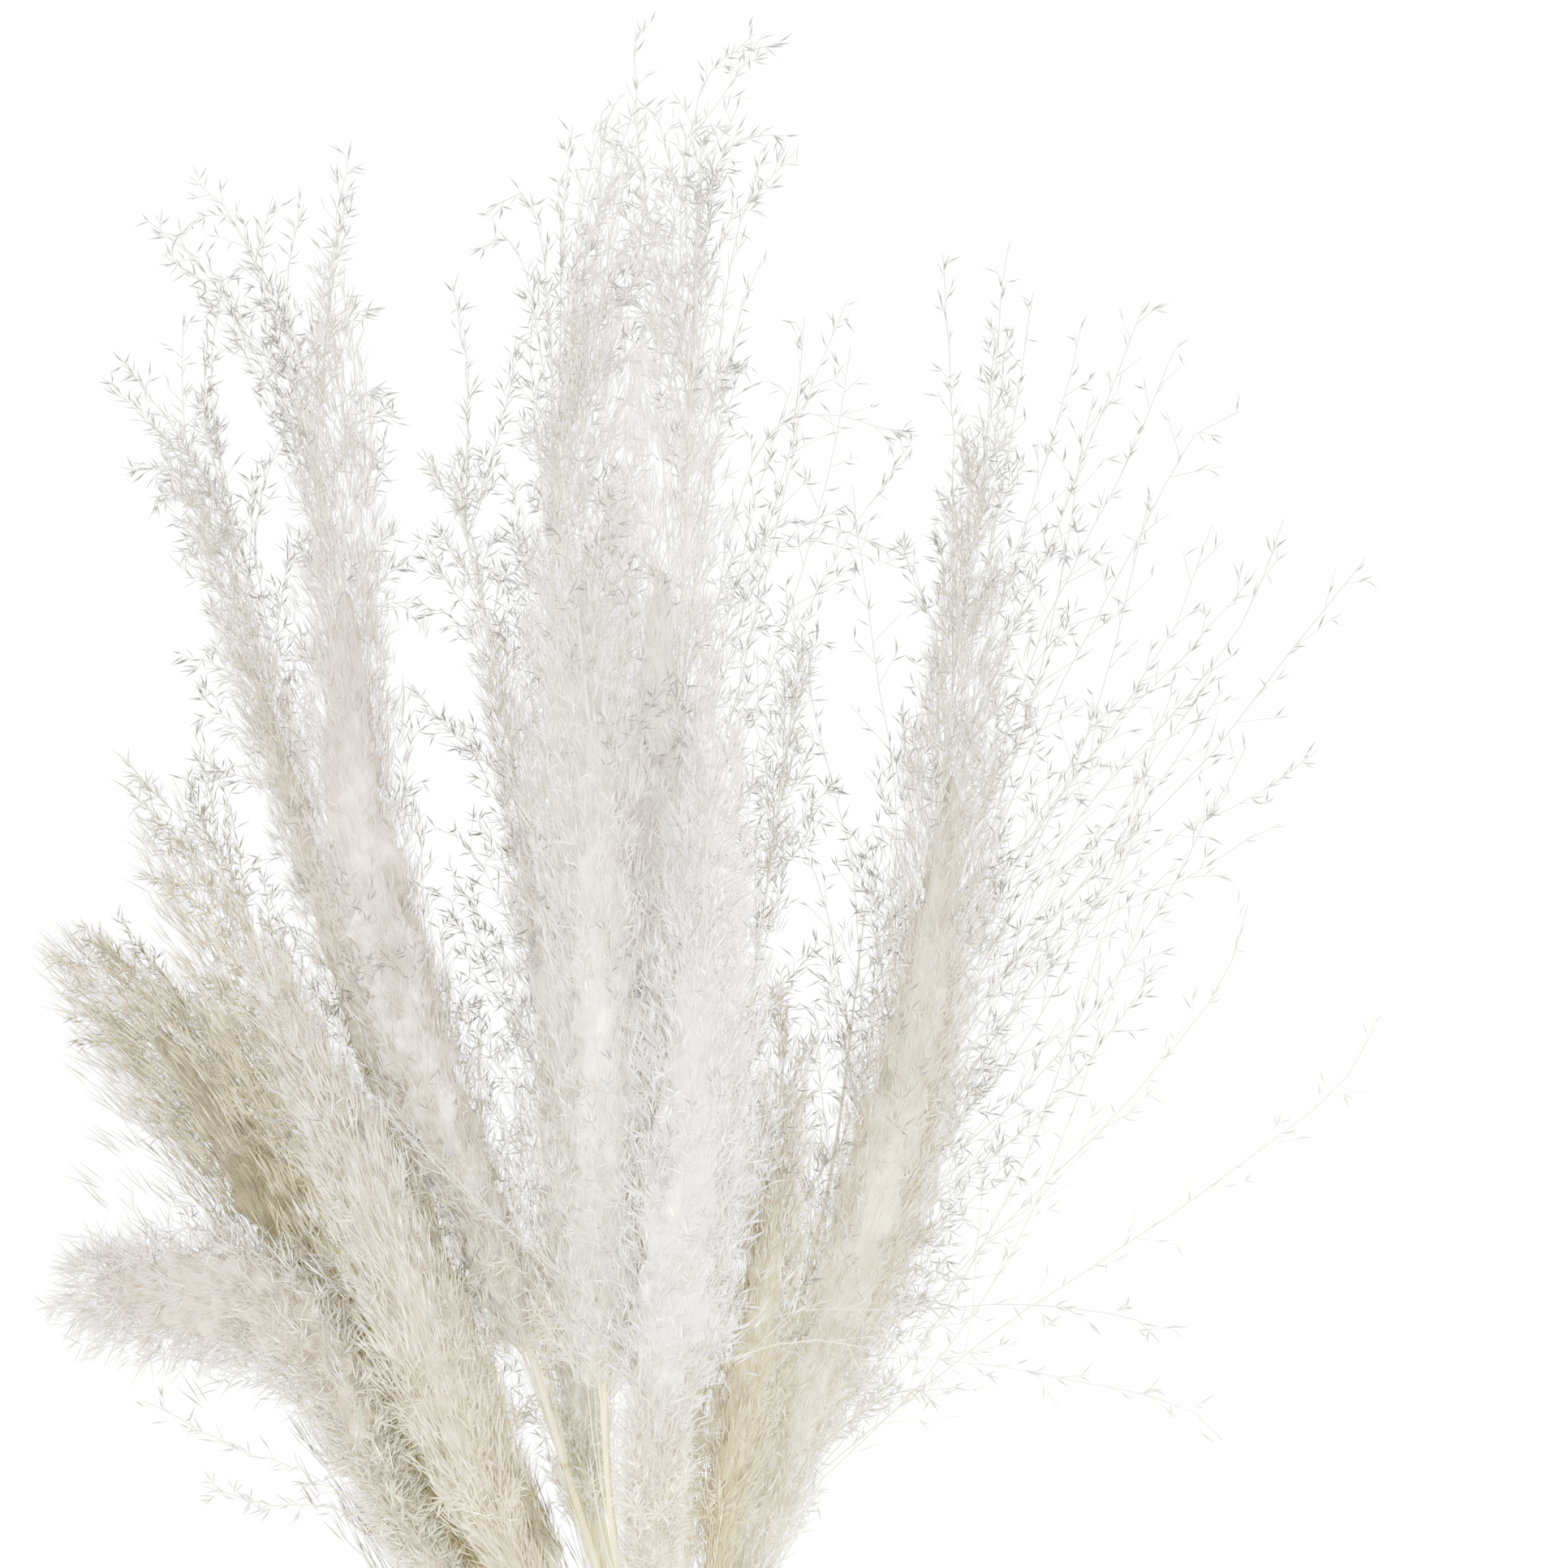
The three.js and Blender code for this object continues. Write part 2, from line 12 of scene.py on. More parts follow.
import bpy
import numpy as np
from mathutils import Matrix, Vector


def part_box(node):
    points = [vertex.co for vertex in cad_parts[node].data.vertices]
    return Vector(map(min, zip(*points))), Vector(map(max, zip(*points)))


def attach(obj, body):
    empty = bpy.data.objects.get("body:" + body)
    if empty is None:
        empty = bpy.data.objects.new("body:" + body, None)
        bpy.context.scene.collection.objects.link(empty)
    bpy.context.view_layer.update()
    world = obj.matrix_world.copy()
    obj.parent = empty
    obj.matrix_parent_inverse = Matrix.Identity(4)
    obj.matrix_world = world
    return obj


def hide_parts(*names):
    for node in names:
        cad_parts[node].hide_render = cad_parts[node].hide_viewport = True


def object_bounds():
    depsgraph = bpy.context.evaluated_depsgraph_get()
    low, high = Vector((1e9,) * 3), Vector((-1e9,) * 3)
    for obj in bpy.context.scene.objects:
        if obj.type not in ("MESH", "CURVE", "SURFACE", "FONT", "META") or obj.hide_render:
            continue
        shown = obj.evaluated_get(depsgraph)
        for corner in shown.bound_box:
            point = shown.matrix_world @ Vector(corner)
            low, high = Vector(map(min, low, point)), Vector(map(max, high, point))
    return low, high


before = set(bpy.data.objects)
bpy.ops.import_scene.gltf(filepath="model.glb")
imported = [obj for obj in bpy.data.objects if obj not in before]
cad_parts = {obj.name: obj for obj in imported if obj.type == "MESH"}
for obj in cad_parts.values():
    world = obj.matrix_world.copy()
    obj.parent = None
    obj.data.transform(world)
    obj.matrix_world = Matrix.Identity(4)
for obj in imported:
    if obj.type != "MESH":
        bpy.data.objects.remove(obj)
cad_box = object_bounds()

Array = np.ndarray
Point = tuple[float, float, float]
Span = tuple[float, float]
Rgb = tuple[int, int, int]
Rgba = tuple[float, float, float, float]

LOG = logging.getLogger("dried_reeds")

MM = 0.001
SEED = 4177
BODY = "root"
NEARLY_NOTHING = 1e-12
FULL_TURN = 2 * math.pi
GOLDEN_ANGLE = 2.39996

# Turns are drawn from 0 to this many radians, a hair over a full turn
ANY_TURN = 6.3

# A heading whose z is more than this counts as upright
UPRIGHT = 0.94

# How near the surface come slivers, the middle lines of branches and those of long branches
LOWEST = 0.5 * MM
LOWEST_LINE = 2 * LOWEST
LOWEST_LONG_LINE = 3 * LOWEST

# How far past the frame's box growths may reach: a share of each side, and then so much more
BOX_SHARE = 0.024
BOX_MARGIN = 8.5 * MM

# A sliver is widest at this share of its length, and its keel is this share of its width deep
WIDEST = 0.4
KEEL = 0.42


# Directions and curves

def unit(vectors: Array) -> Array:
    """Each vector over its own length."""
    return vectors / np.maximum(np.linalg.norm(vectors, axis=-1, keepdims=True), NEARLY_NOTHING)


def squares_to(headings: Array) -> tuple[Array, Array]:
    """Two unit vectors square to each heading and to each other.

    The first is level, being up cross heading, and the second is heading cross the first. A
    heading that is nearly upright takes the X axis for up.

    Args:
        headings: unit vectors, shape (..., 3).

    Returns:
        The level vectors and the lifted ones, each the shape of headings.
    """
    upright = np.abs(headings[..., 2:3]) > UPRIGHT
    up = np.where(upright, (1.0, 0.0, 0.0), (0.0, 0.0, 1.0))
    level = unit(np.cross(up, headings))
    return level, np.cross(headings, level)


def ray_at(headings: Array, turns: Array) -> Array:
    """The unit vector square to each heading, turned about it: level cos t + lifted sin t.

    Args:
        headings: unit vectors, shape (n, 3).
        turns: angles in radians, shape (n,).

    Returns:
        Unit vectors, shape (n, 3).
    """
    level, lifted = squares_to(headings)
    return level * np.cos(turns)[:, None] + lifted * np.sin(turns)[:, None]


def leaning(headings: Array, turns: Array, leans: Array) -> Array:
    """Headings tipped over: heading cos l + ray sin l, the ray being turned about the heading.

    Args:
        headings: unit vectors, shape (n, 3).
        turns: which way each one tips, in radians.
        leans: how far each one tips, in radians.

    Returns:
        Unit vectors, shape (n, 3).
    """
    return headings * np.cos(leans)[:, None] + ray_at(headings, turns) * np.sin(leans)[:, None]


def spline(controls: Array, places: Array) -> tuple[Array, Array]:
    """A centripetal Catmull-Rom curve through the controls.

    Each stretch between two controls takes an equal share of the parameter. Its Hermite slopes
    are chord slopes weighted by the square roots of the chords, and a missing neighbour at
    either end is the next control mirrored in the last one.

    Args:
        controls: the points that the curve passes, shape (k, 3).
        places: parameters from 0 to 1, shape (n,).

    Returns:
        The points and the unit tangents there, each (n, 3).
    """
    padded = np.vstack([2 * controls[0] - controls[1], controls, 2 * controls[-1] - controls[-2]])
    stretches = len(controls) - 1
    scaled = np.clip(places, 0.0, 1.0) * stretches
    left = np.minimum(scaled.astype(int), stretches - 1)
    w = (scaled - left)[:, None]
    before, start, end, after = (padded[left + i] for i in range(4))
    d0, d1, d2 = (
        np.sqrt(np.linalg.norm(far - near, axis=1, keepdims=True))
        for near, far in ((before, start), (start, end), (end, after))
    )
    slope_in = ((start - before) / d0 - (end - before) / (d0 + d1) + (end - start) / d1) * d1
    slope_out = ((end - start) / d1 - (after - start) / (d1 + d2) + (after - end) / d2) * d1
    square = 3 * (end - start) - 2 * slope_in - slope_out
    cube = 2 * (start - end) + slope_in + slope_out
    points = start + w * (slope_in + w * (square + w * cube))
    return points, unit(slope_in + w * (2 * square + 3 * w * cube))


def distances(path: Array) -> Array:
    """How far along its path each point is, from 0: the sum of the steps up to it."""
    return np.concatenate([[0.0], np.cumsum(np.linalg.norm(np.diff(path, axis=0), axis=1))])


def evenly(controls: Array, count: int, samples: int = 200) -> Array:
    """Count points on the spline through the controls, evenly far apart along it.

    Args:
        controls: the points that the curve passes, shape (k, 3).
        count: how many points to return, both ends among them.
        samples: how many points measure the curve.

    Returns:
        The points, shape (count, 3).
    """
    fine = np.linspace(0.0, 1.0, samples)
    lengths = distances(spline(controls, fine)[0])
    return spline(controls, np.interp(np.linspace(0.0, lengths[-1], count), lengths, fine))[0]


# Meshes

class Heap:
    """Vertices, faces and vertex values gathered for one mesh."""

    def __init__(self) -> None:
        """Starts empty."""
        self.vertices: list[Array] = []
        self.faces: list[Array] = []
        self.values: dict[str, list[Array]] = {}
        self.count = 0

    def add(self, vertices: Array, faces: Sequence[Array], **values: Array) -> None:
        """Adds a surface.

        Args:
            vertices: points in metres, shape (n, 3).
            faces: arrays of vertex numbers, one array for each number of corners.
            values: rows of one number or three, by attribute. A row is for one vertex, or for
                an equal run of them, such as a sliver's or a ring's.
        """
        self.vertices.append(vertices)
        self.faces.extend(corners + self.count for corners in faces if len(corners))
        for name, numbers in values.items():
            each = len(vertices) // max(len(numbers), 1)
            self.values.setdefault(name, []).append(np.repeat(numbers, each, axis=0))
        self.count += len(vertices)

    def triangles(self) -> int:
        """How many triangles the faces make."""
        return sum(len(corners) * (corners.shape[1] - 2) for corners in self.faces)

    def to_object(self, name: str, material: bpy.types.Material, smooth: bool) -> bpy.types.Object:
        """Makes the mesh and its object, at the origin.

        Args:
            name: the piece's name.
            material: what all of its faces wear.
            smooth: whether the faces are shaded as one curved surface.

        Returns:
            The linked object.
        """
        places = np.concatenate(self.vertices).astype(np.float32)
        corners = np.concatenate([face.ravel() for face in self.faces]).astype(np.int32)
        sizes = np.concatenate([np.full(len(face), face.shape[1]) for face in self.faces])
        starts = np.concatenate([[0], np.cumsum(sizes)[:-1]]).astype(np.int32)
        mesh = bpy.data.meshes.new(name)
        mesh.vertices.add(len(places))
        mesh.vertices.foreach_set("co", places.ravel())
        mesh.loops.add(len(corners))
        mesh.loops.foreach_set("vertex_index", corners)
        mesh.polygons.add(len(sizes))
        mesh.polygons.foreach_set("loop_start", starts)
        mesh.polygons.foreach_set("use_smooth", np.full(len(sizes), smooth))
        for value_name, parts in self.values.items():
            numbers = np.concatenate(parts).astype(np.float32)
            flat = numbers.ndim == 1
            kind, key = ("FLOAT", "value") if flat else ("FLOAT_VECTOR", "vector")
            mesh.attributes.new(value_name, kind, "POINT").data.foreach_set(key, numbers.ravel())
        mesh.update(calc_edges=True)
        mesh.validate()
        mesh.materials.append(material)
        made = bpy.data.objects.new(name, mesh)
        bpy.context.scene.collection.objects.link(made)
        return made


def ring_angles(sides: int) -> Array:
    """The angles of a ring's corners, which go evenly round."""
    return np.arange(sides) * (FULL_TURN / sides)


def round_grain(angles: Array, heights: Array, width: float = 1.0) -> Array:
    """Places on a cylinder, where noise runs on round a tube: (w cos a, w sin a, height)."""
    return np.column_stack([np.cos(angles) * width, np.sin(angles) * width, heights])


def skin(centres: Array, radii: Array, sides: int, side: Optional[Array] = None,
         tangents: Optional[Array] = None) -> tuple[Array, list[Array]]:
    """Closed tubes along many paths at once.

    A ring's corner is centre + radius (side cos a + lift sin a), with a going evenly round, side
    square to the path and lift = tangent cross side. Rings are joined by quads, and the first
    and last ring are closed by one face each.

    Args:
        centres: ring middles, shape (n, rings, 3).
        radii: ring radii, shape (n, rings) or (n, rings, sides).
        sides: corners of a ring.
        side: the vectors that each ring starts from, or None for one steady choice a path.
        tangents: the path's directions, or None to work them out from the centres.

    Returns:
        The vertices, shape (m, 3), and the face arrays.
    """
    paths, rings = centres.shape[:2]
    if tangents is None:
        tangents = unit(np.gradient(centres, axis=1))
    if side is None:
        steady = squares_to(unit(centres[:, -1] - centres[:, 0]))[0]
        side = np.repeat(steady[:, None, :], rings, axis=1)
    side = unit(side - tangents * np.sum(side * tangents, axis=-1, keepdims=True))
    lift = np.cross(tangents, side)
    angles = ring_angles(sides)
    spokes = (side[:, :, None, :] * np.cos(angles)[:, None]
              + lift[:, :, None, :] * np.sin(angles)[:, None])
    spread = radii if radii.ndim == 3 else radii[:, :, None]
    vertices = centres[:, :, None, :] + spokes * spread[..., None]
    numbers = np.arange(paths * rings * sides).reshape(paths, rings, sides)
    near, far = numbers[:, :-1], numbers[:, 1:]
    quads = np.stack([near, np.roll(near, -1, 2), np.roll(far, -1, 2), far], axis=-1)
    caps = np.concatenate([numbers[:, 0, ::-1], numbers[:, -1]])
    return vertices.reshape(-1, 3), [quads.reshape(-1, 4), caps]


def slivers(roots: Array, headings: Array, turns: Array, lengths: Array, widths: Array,
            sweeps: Union[Array, float] = 0.0) -> tuple[Array, list[Array]]:
    """Keeled, pointed slivers, each a long closed tetrahedron.

    A keel runs from the root to the point, and an edge on either side stands half a width out
    and a keel's height down, at WIDEST of the length, where a swept one also bows sideways. One
    that would reach under the surface is lifted on to it.

    Args:
        roots: where each sliver starts, shape (n, 3).
        headings: unit vectors that they point along.
        turns: how each is rolled about its heading, in radians.
        lengths: their lengths in metres.
        widths: their greatest widths in metres.
        sweeps: how far each one bows, as a share of its length.

    Returns:
        The vertices, shape (4 n, 3), and the face arrays.
    """
    across = ray_at(headings, turns)
    down = np.cross(across, headings)
    widest = roots + headings * (WIDEST * lengths)[:, None] + across * (sweeps * lengths)[:, None]
    edge = across * (widths / 2)[:, None]
    drop = down * (KEEL * widths)[:, None]
    corners = np.stack(
        [roots, roots + headings * lengths[:, None], widest + edge + drop, widest - edge + drop], 1)
    lowest = corners[:, :, 2].min(axis=1)
    corners[:, :, 2] += np.maximum(LOWEST - lowest, 0.0)[:, None]
    first = 4 * np.arange(len(roots))[:, None, None]
    faces = first + np.array([(0, 1, 2), (0, 3, 1), (0, 2, 3), (1, 3, 2)])
    return corners.reshape(-1, 3), [faces.reshape(-1, 3)]


def inside(points: Array) -> Array:
    """Whether growths lie wholly in the frame's box, made larger by BOX_SHARE and BOX_MARGIN.

    Args:
        points: paths, shape (n, steps, 3), or single points, shape (n, 3).

    Returns:
        A mask of shape (n,).
    """
    low, high = (np.array(corner) for corner in cad_box)
    room = (high - low) * BOX_SHARE + BOX_MARGIN
    within = (points > low - room) & (points < high + room)
    return within.all(axis=tuple(range(1, points.ndim)))


def declare(heap: Heap, name: str, dress: Callable[[str], bpy.types.Material], smooth: bool,
            node: str) -> int:
    """Makes one of the part's pieces, hangs it on the body, hides the node it replaces and logs it.

    Args:
        heap: its surfaces.
        name: its name, and its material's.
        dress: what builds the material.
        smooth: whether its faces are shaded as one curved surface.
        node: the node that it takes the place of.

    Returns:
        How many triangles it has.
    """
    piece = heap.to_object(name, dress(name), smooth)
    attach(piece, BODY)
    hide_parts(node)
    LOG.info("%s: %d triangles", name, heap.triangles())
    return heap.triangles()


# Shader graphs

Socketed = Union["Signal", float]


class Signal:
    """A number that a shader node gives, which takes part in sums."""

    def __init__(self, graph: "Graph", socket: bpy.types.NodeSocket) -> None:
        """Wraps a socket of the graph that gives a value."""
        self.graph = graph
        self.socket = socket

    def _with(self, operation: str, first: Socketed, second: Socketed) -> "Signal":
        """Adds one Math node on two values."""
        return self.graph.node(
            "ShaderNodeMath", {"operation": operation}, {0: first, 1: second}, "Value")

    def __add__(self, other: Socketed) -> "Signal":
        """self + other."""
        return self._with("ADD", self, other)

    def __radd__(self, other: Socketed) -> "Signal":
        """other + self."""
        return self._with("ADD", other, self)

    def __sub__(self, other: Socketed) -> "Signal":
        """self - other."""
        return self._with("SUBTRACT", self, other)

    def __rsub__(self, other: Socketed) -> "Signal":
        """other - self."""
        return self._with("SUBTRACT", other, self)

    def __mul__(self, other: Socketed) -> "Signal":
        """self times other."""
        return self._with("MULTIPLY", self, other)

    def __rmul__(self, other: Socketed) -> "Signal":
        """other times self."""
        return self._with("MULTIPLY", other, self)

    def held(self) -> "Signal":
        """self, kept between 0 and 1."""
        return self.graph.node("ShaderNodeClamp", {}, {"Value": self}, "Result")


class Graph:
    """A material's node tree with one Principled shader."""

    def __init__(self, name: str) -> None:
        """Makes the material, empty but for its shader.

        Args:
            name: the material's name.
        """
        self.material = bpy.data.materials.new(name)
        self.material.use_nodes = True
        self.tree = self.material.node_tree
        self.shader = self.tree.nodes["Principled BSDF"]

    @staticmethod
    def _input(node: bpy.types.Node, key: Union[str, int]) -> bpy.types.NodeSocket:
        """Finds an input of a node.

        Args:
            node: the node.
            key: the input's number, or its name, of which the enabled one counts.

        Returns:
            The input.
        """
        if isinstance(key, int):
            return node.inputs[key]
        return next(socket for socket in node.inputs if socket.name == key and socket.enabled)

    def _feed(self, socket: bpy.types.NodeSocket, value: object) -> None:
        """Gives an input its value.

        Args:
            socket: the input.
            value: a signal to link into it, or a constant to set it to.
        """
        if isinstance(value, Signal):
            self.tree.links.new(value.socket, socket)
        else:
            socket.default_value = value

    def node(self, kind: str, settings: dict, inputs: dict, output: str) -> Signal:
        """Adds a node.

        Args:
            kind: the node's type.
            settings: its own properties, set first.
            inputs: values or signals by the input's name or number.
            output: the name of the output to return.

        Returns:
            That output as a signal.
        """
        made = self.tree.nodes.new(kind)
        for key, value in settings.items():
            setattr(made, key, value)
        for key, value in inputs.items():
            self._feed(self._input(made, key), value)
        socket = next(found for found in made.outputs if found.name == output and found.enabled)
        return Signal(self, socket)

    def value(self, name: str) -> Signal:
        """The mesh's vertex value of that name."""
        return self.node("ShaderNodeAttribute", {"attribute_name": name}, {}, "Fac")

    def vector(self, name: str) -> Signal:
        """The mesh's vertex vector of that name."""
        return self.node("ShaderNodeAttribute", {"attribute_name": name}, {}, "Vector")

    def place(self) -> Signal:
        """The point's place in the object."""
        return self.node("ShaderNodeTexCoord", {}, {}, "Object")

    def noise(self, where: Signal, scale: float, detail: float = 2.0) -> Signal:
        """Smooth noise from 0 to 1.

        Args:
            where: the place that it is read at.
            scale: waves for one unit of where.
            detail: how many finer octaves it has.

        Returns:
            The noise as a signal.
        """
        return self.node("ShaderNodeTexNoise", {},
                         {"Vector": where, "Scale": scale, "Detail": detail}, "Fac")

    def between(self, share: Socketed, low: object, high: object) -> Signal:
        """A colour between two: low where share is 0 and high where it is 1.

        Args:
            share: the mix, from 0 to 1.
            low: a colour or a colour signal.
            high: a colour or a colour signal.

        Returns:
            The mixed colour.
        """
        return self.node("ShaderNodeMix", {"data_type": "RGBA"},
                         {"Factor": share, "A": low, "B": high}, "Result")

    def bump(self, height: Signal, depth: float) -> Signal:
        """The surface's normal with the height pressed into it.

        Args:
            height: from 0 to 1.
            depth: how many metres a height of 1 stands out.

        Returns:
            The normal.
        """
        return self.node("ShaderNodeBump", {}, {"Distance": depth, "Height": height}, "Normal")

    def let_through(self, light: object, share: float) -> None:
        """Lets part of the light from behind through, as dry husks and silk do.

        Args:
            light: the colour of what comes through.
            share: how much of the surface's light it is.
        """
        glow = self.node("ShaderNodeBsdfTranslucent", {}, {"Color": light}, "BSDF")
        surface = Signal(self, self.shader.outputs["BSDF"])
        mixed = self.node("ShaderNodeMixShader", {}, {0: share, 1: surface, 2: glow}, "Shader")
        output = self.tree.nodes["Material Output"]
        self.tree.links.new(mixed.socket, output.inputs["Surface"])

    def dress(self, **sockets: object) -> bpy.types.Material:
        """Sets the shader's sockets.

        Args:
            sockets: values or signals by the socket's name, with _ for a space.

        Returns:
            The finished material.
        """
        for key, value in sockets.items():
            self._feed(self._input(self.shader, key.replace("_", " ")), value)
        return self.material


def colour(red: int, green: int, blue: int) -> Rgba:
    """A screen colour from 0 to 255 a channel as the linear colour that a shader takes.

    A channel c becomes ((c / 255 + 0.055) / 1.055) to the power of 2.4.

    Args:
        red: the red channel.
        green: the green channel.
        blue: the blue channel.

    Returns:
        Red, green, blue and an alpha of 1.
    """
    linear = [((c / 255 + 0.055) / 1.055) ** 2.4 for c in (red, green, blue)]
    return (*linear, 1.0)


# Finishes

@dataclass(frozen=True)
class PlumeColours:
    """What one kind of plume looks like, as screen colours.

    foot and head are its silk at the plume's base and tip, and the third colour is the silk close
    to the middle line: partly its own warmer colour and, in most kinds, partly painted shade of
    the plume's hollows. The fourth is the spikelets that stand clear of the silk, a dry grey
    darkened partly as painted shade of husks seen against the light, and stalk is the branches.
    uneven is the share by which one tuft of silk may be lighter or darker than its colour, and
    fade is how soon up the plume its foot's colour gives way to its head's.
    """

    foot: Rgb
    head: Rgb
    heart_and_shade: Rgb
    husk_and_shade: Rgb
    stalk: Rgb
    uneven: float
    fade: float


class Shade(Enum):
    """The kinds of plume in the bunch."""

    WHITE = PlumeColours(
        (246, 230, 200), (254, 249, 238), (252, 243, 224), (120, 117, 110), (226, 219, 204),
        0.04, 3.0)
    PALE = PlumeColours(
        (255, 245, 218), (234, 225, 213), (252, 241, 220), (86, 84, 78), (228, 218, 192),
        0.05, 2.2)
    # This kind's near-white foot is partly painted light, lifted against the shade that the plumes
    # above cast on it
    ASH = PlumeColours(
        (255, 244, 220), (208, 193, 179), (224, 208, 186), (84, 81, 76), (222, 210, 186),
        0.06, 1.8)
    # This kind's near-white foot is partly painted light, lifted against the shade that the plumes
    # above cast on it
    CREAM = PlumeColours(
        (252, 240, 208), (208, 198, 178), (228, 213, 180), (82, 79, 71), (206, 198, 176),
        0.07, 1.5)
    SAND = PlumeColours(
        (240, 223, 186), (241, 227, 208), (208, 186, 136), (100, 94, 77), (206, 195, 158),
        0.08, 1.3)
    # This kind's dark olive foot and middle-line colour are painted shade of the shadow band
    # between neighbouring plumes
    MOSS_IN_SHADE = PlumeColours(
        (180, 159, 98), (212, 197, 160), (150, 130, 66), (90, 83, 60), (178, 163, 116),
        0.1, 1.1)
    BEIGE = PlumeColours(
        (216, 198, 148), (220, 207, 180), (190, 170, 118), (90, 84, 67), (190, 178, 146),
        0.08, 1.3)
    # This kind's very dark foot and middle-line colour are painted shade of the hollows between the
    # low plumes on the left
    OLIVE_IN_SHADE = PlumeColours(
        (116, 95, 34), (214, 199, 160), (84, 68, 18), (90, 80, 50), (150, 135, 88),
        0.12, 1.1)
    # This kind's dark middle-line colour is painted shade under its curls, and its large
    # unevenness, random by tuft, partly stands for the shade between curls
    GREY = PlumeColours(
        (234, 214, 180), (220, 202, 184), (126, 100, 74), (98, 88, 80), (184, 168, 146),
        0.22, 1.3)


# The shades whose plumes are listed for the pale material slot, which is not given to any piece
PALE_SHADES = (Shade.WHITE, Shade.PALE, Shade.CREAM)


def shaded(base: Rgb, share: float) -> Rgba:
    """The screen colour with each channel times share, as a linear colour."""
    return colour(*(min(255, round(channel * share)) for channel in base))


def toned(graph: Graph, tone: Signal, base: Rgb, tones: Span) -> Signal:
    """The screen colour times the first of tones where tone is 0, and the second where it is 1."""
    return graph.between(tone, shaded(base, tones[0]), shaded(base, tones[1]))


# Noise of TINT_WAVES a metre moves the place where a plume's foot gives way to its head, and
# the last number is how much of the middle line's colour, in most kinds partly painted shade
# of the plume's hollows, the middle line shows
TINT_WAVES = 22.0
TINT_DRIFT = 0.5
HEART_AND_SHADE_SHOWN = 0.85


def silk_tint(graph: Graph, shade: Shade, tone: Signal, tones: Span) -> Signal:
    """The colour of silk: by place along the plume and by distance from its middle, darker there in
    most kinds with painted shade, and uneven.

    Args:
        graph: the material's node tree.
        shade: the kind of plume.
        tone: how light the silk is, from 0 to 1.
        tones: what its colour is multiplied by at the two ends of tone.

    Returns:
        The colour.
    """
    colours = shade.value
    foot, head, heart_and_shade = (
        toned(graph, tone, base, tones) for base in (colours.foot, colours.head, colours.heart_and_shade))
    drift = graph.noise(graph.place(), TINT_WAVES)
    height = graph.value("rise") * colours.fade
    outer = graph.between((height + drift * TINT_DRIFT - TINT_DRIFT / 2).held(), foot, head)
    # Near the middle line silk takes that line's colour, in most kinds partly painted shade of the
    # hollows
    return graph.between((graph.value("heart_and_shade") * HEART_AND_SHADE_SHOWN).held(), outer, heart_and_shade)


@dataclass(frozen=True)
class SilkFinish:
    """Fine silky hairs: nearly white, warmer near the stem and, in most kinds, darker there with
    painted shade, a soft shine.

    The lightest tufts are rougher by duller, and through is the share of light let through.
    """

    shade: Shade
    roughness: float = 0.5
    duller: float = 0.2
    shine: float = 0.3
    sheen: float = 0.2
    through: float = 0.25

    def material(self, name: str) -> bpy.types.Material:
        """Builds the material.

        Args:
            name: the material's name.

        Returns:
            Colour and roughness that are uneven by tuft.
        """
        graph = Graph(name)
        tone = graph.value("tone")
        uneven = self.shade.value.uneven
        mixed = silk_tint(graph, self.shade, tone, (1 - uneven, 1 + uneven))
        graph.let_through(mixed, self.through)
        return graph.dress(Base_Color=mixed, Roughness=self.roughness + self.duller * tone,
                           Specular_IOR_Level=self.shine, Sheen_Weight=self.sheen)


@dataclass(frozen=True)
class DownFinish:
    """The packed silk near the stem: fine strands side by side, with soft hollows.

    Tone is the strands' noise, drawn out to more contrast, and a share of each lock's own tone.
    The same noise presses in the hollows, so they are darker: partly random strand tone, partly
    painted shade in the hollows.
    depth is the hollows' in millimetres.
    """

    shade: Shade
    waves: float = 9.0
    octaves: float = 4.0
    contrast: float = 1.5
    locks: float = 0.5
    tones: Span = (0.76, 1.03)
    roughness: float = 0.75
    shine: float = 0.2
    depth: float = 1.2

    def material(self, name: str) -> bpy.types.Material:
        """Builds the material.

        Args:
            name: the material's name.

        Returns:
            Colour and bump by one noise stretched along the strands, so the hollows are darker with
            painted shade.
        """
        graph = Graph(name)
        # The noise that presses in the hollows also darkens them: painted shade on top of the
        # strands' random tone
        strands = graph.noise(graph.vector("grain"), self.waves, self.octaves)
        drawn_out = strands * self.contrast - (self.contrast - 1) / 2
        tone = (drawn_out + self.locks * (graph.value("tone") - 0.5)).held()
        mixed = silk_tint(graph, self.shade, tone, self.tones)
        return graph.dress(Base_Color=mixed, Roughness=self.roughness,
                           Specular_IOR_Level=self.shine,
                           Normal=graph.bump(strands, self.depth * MM))


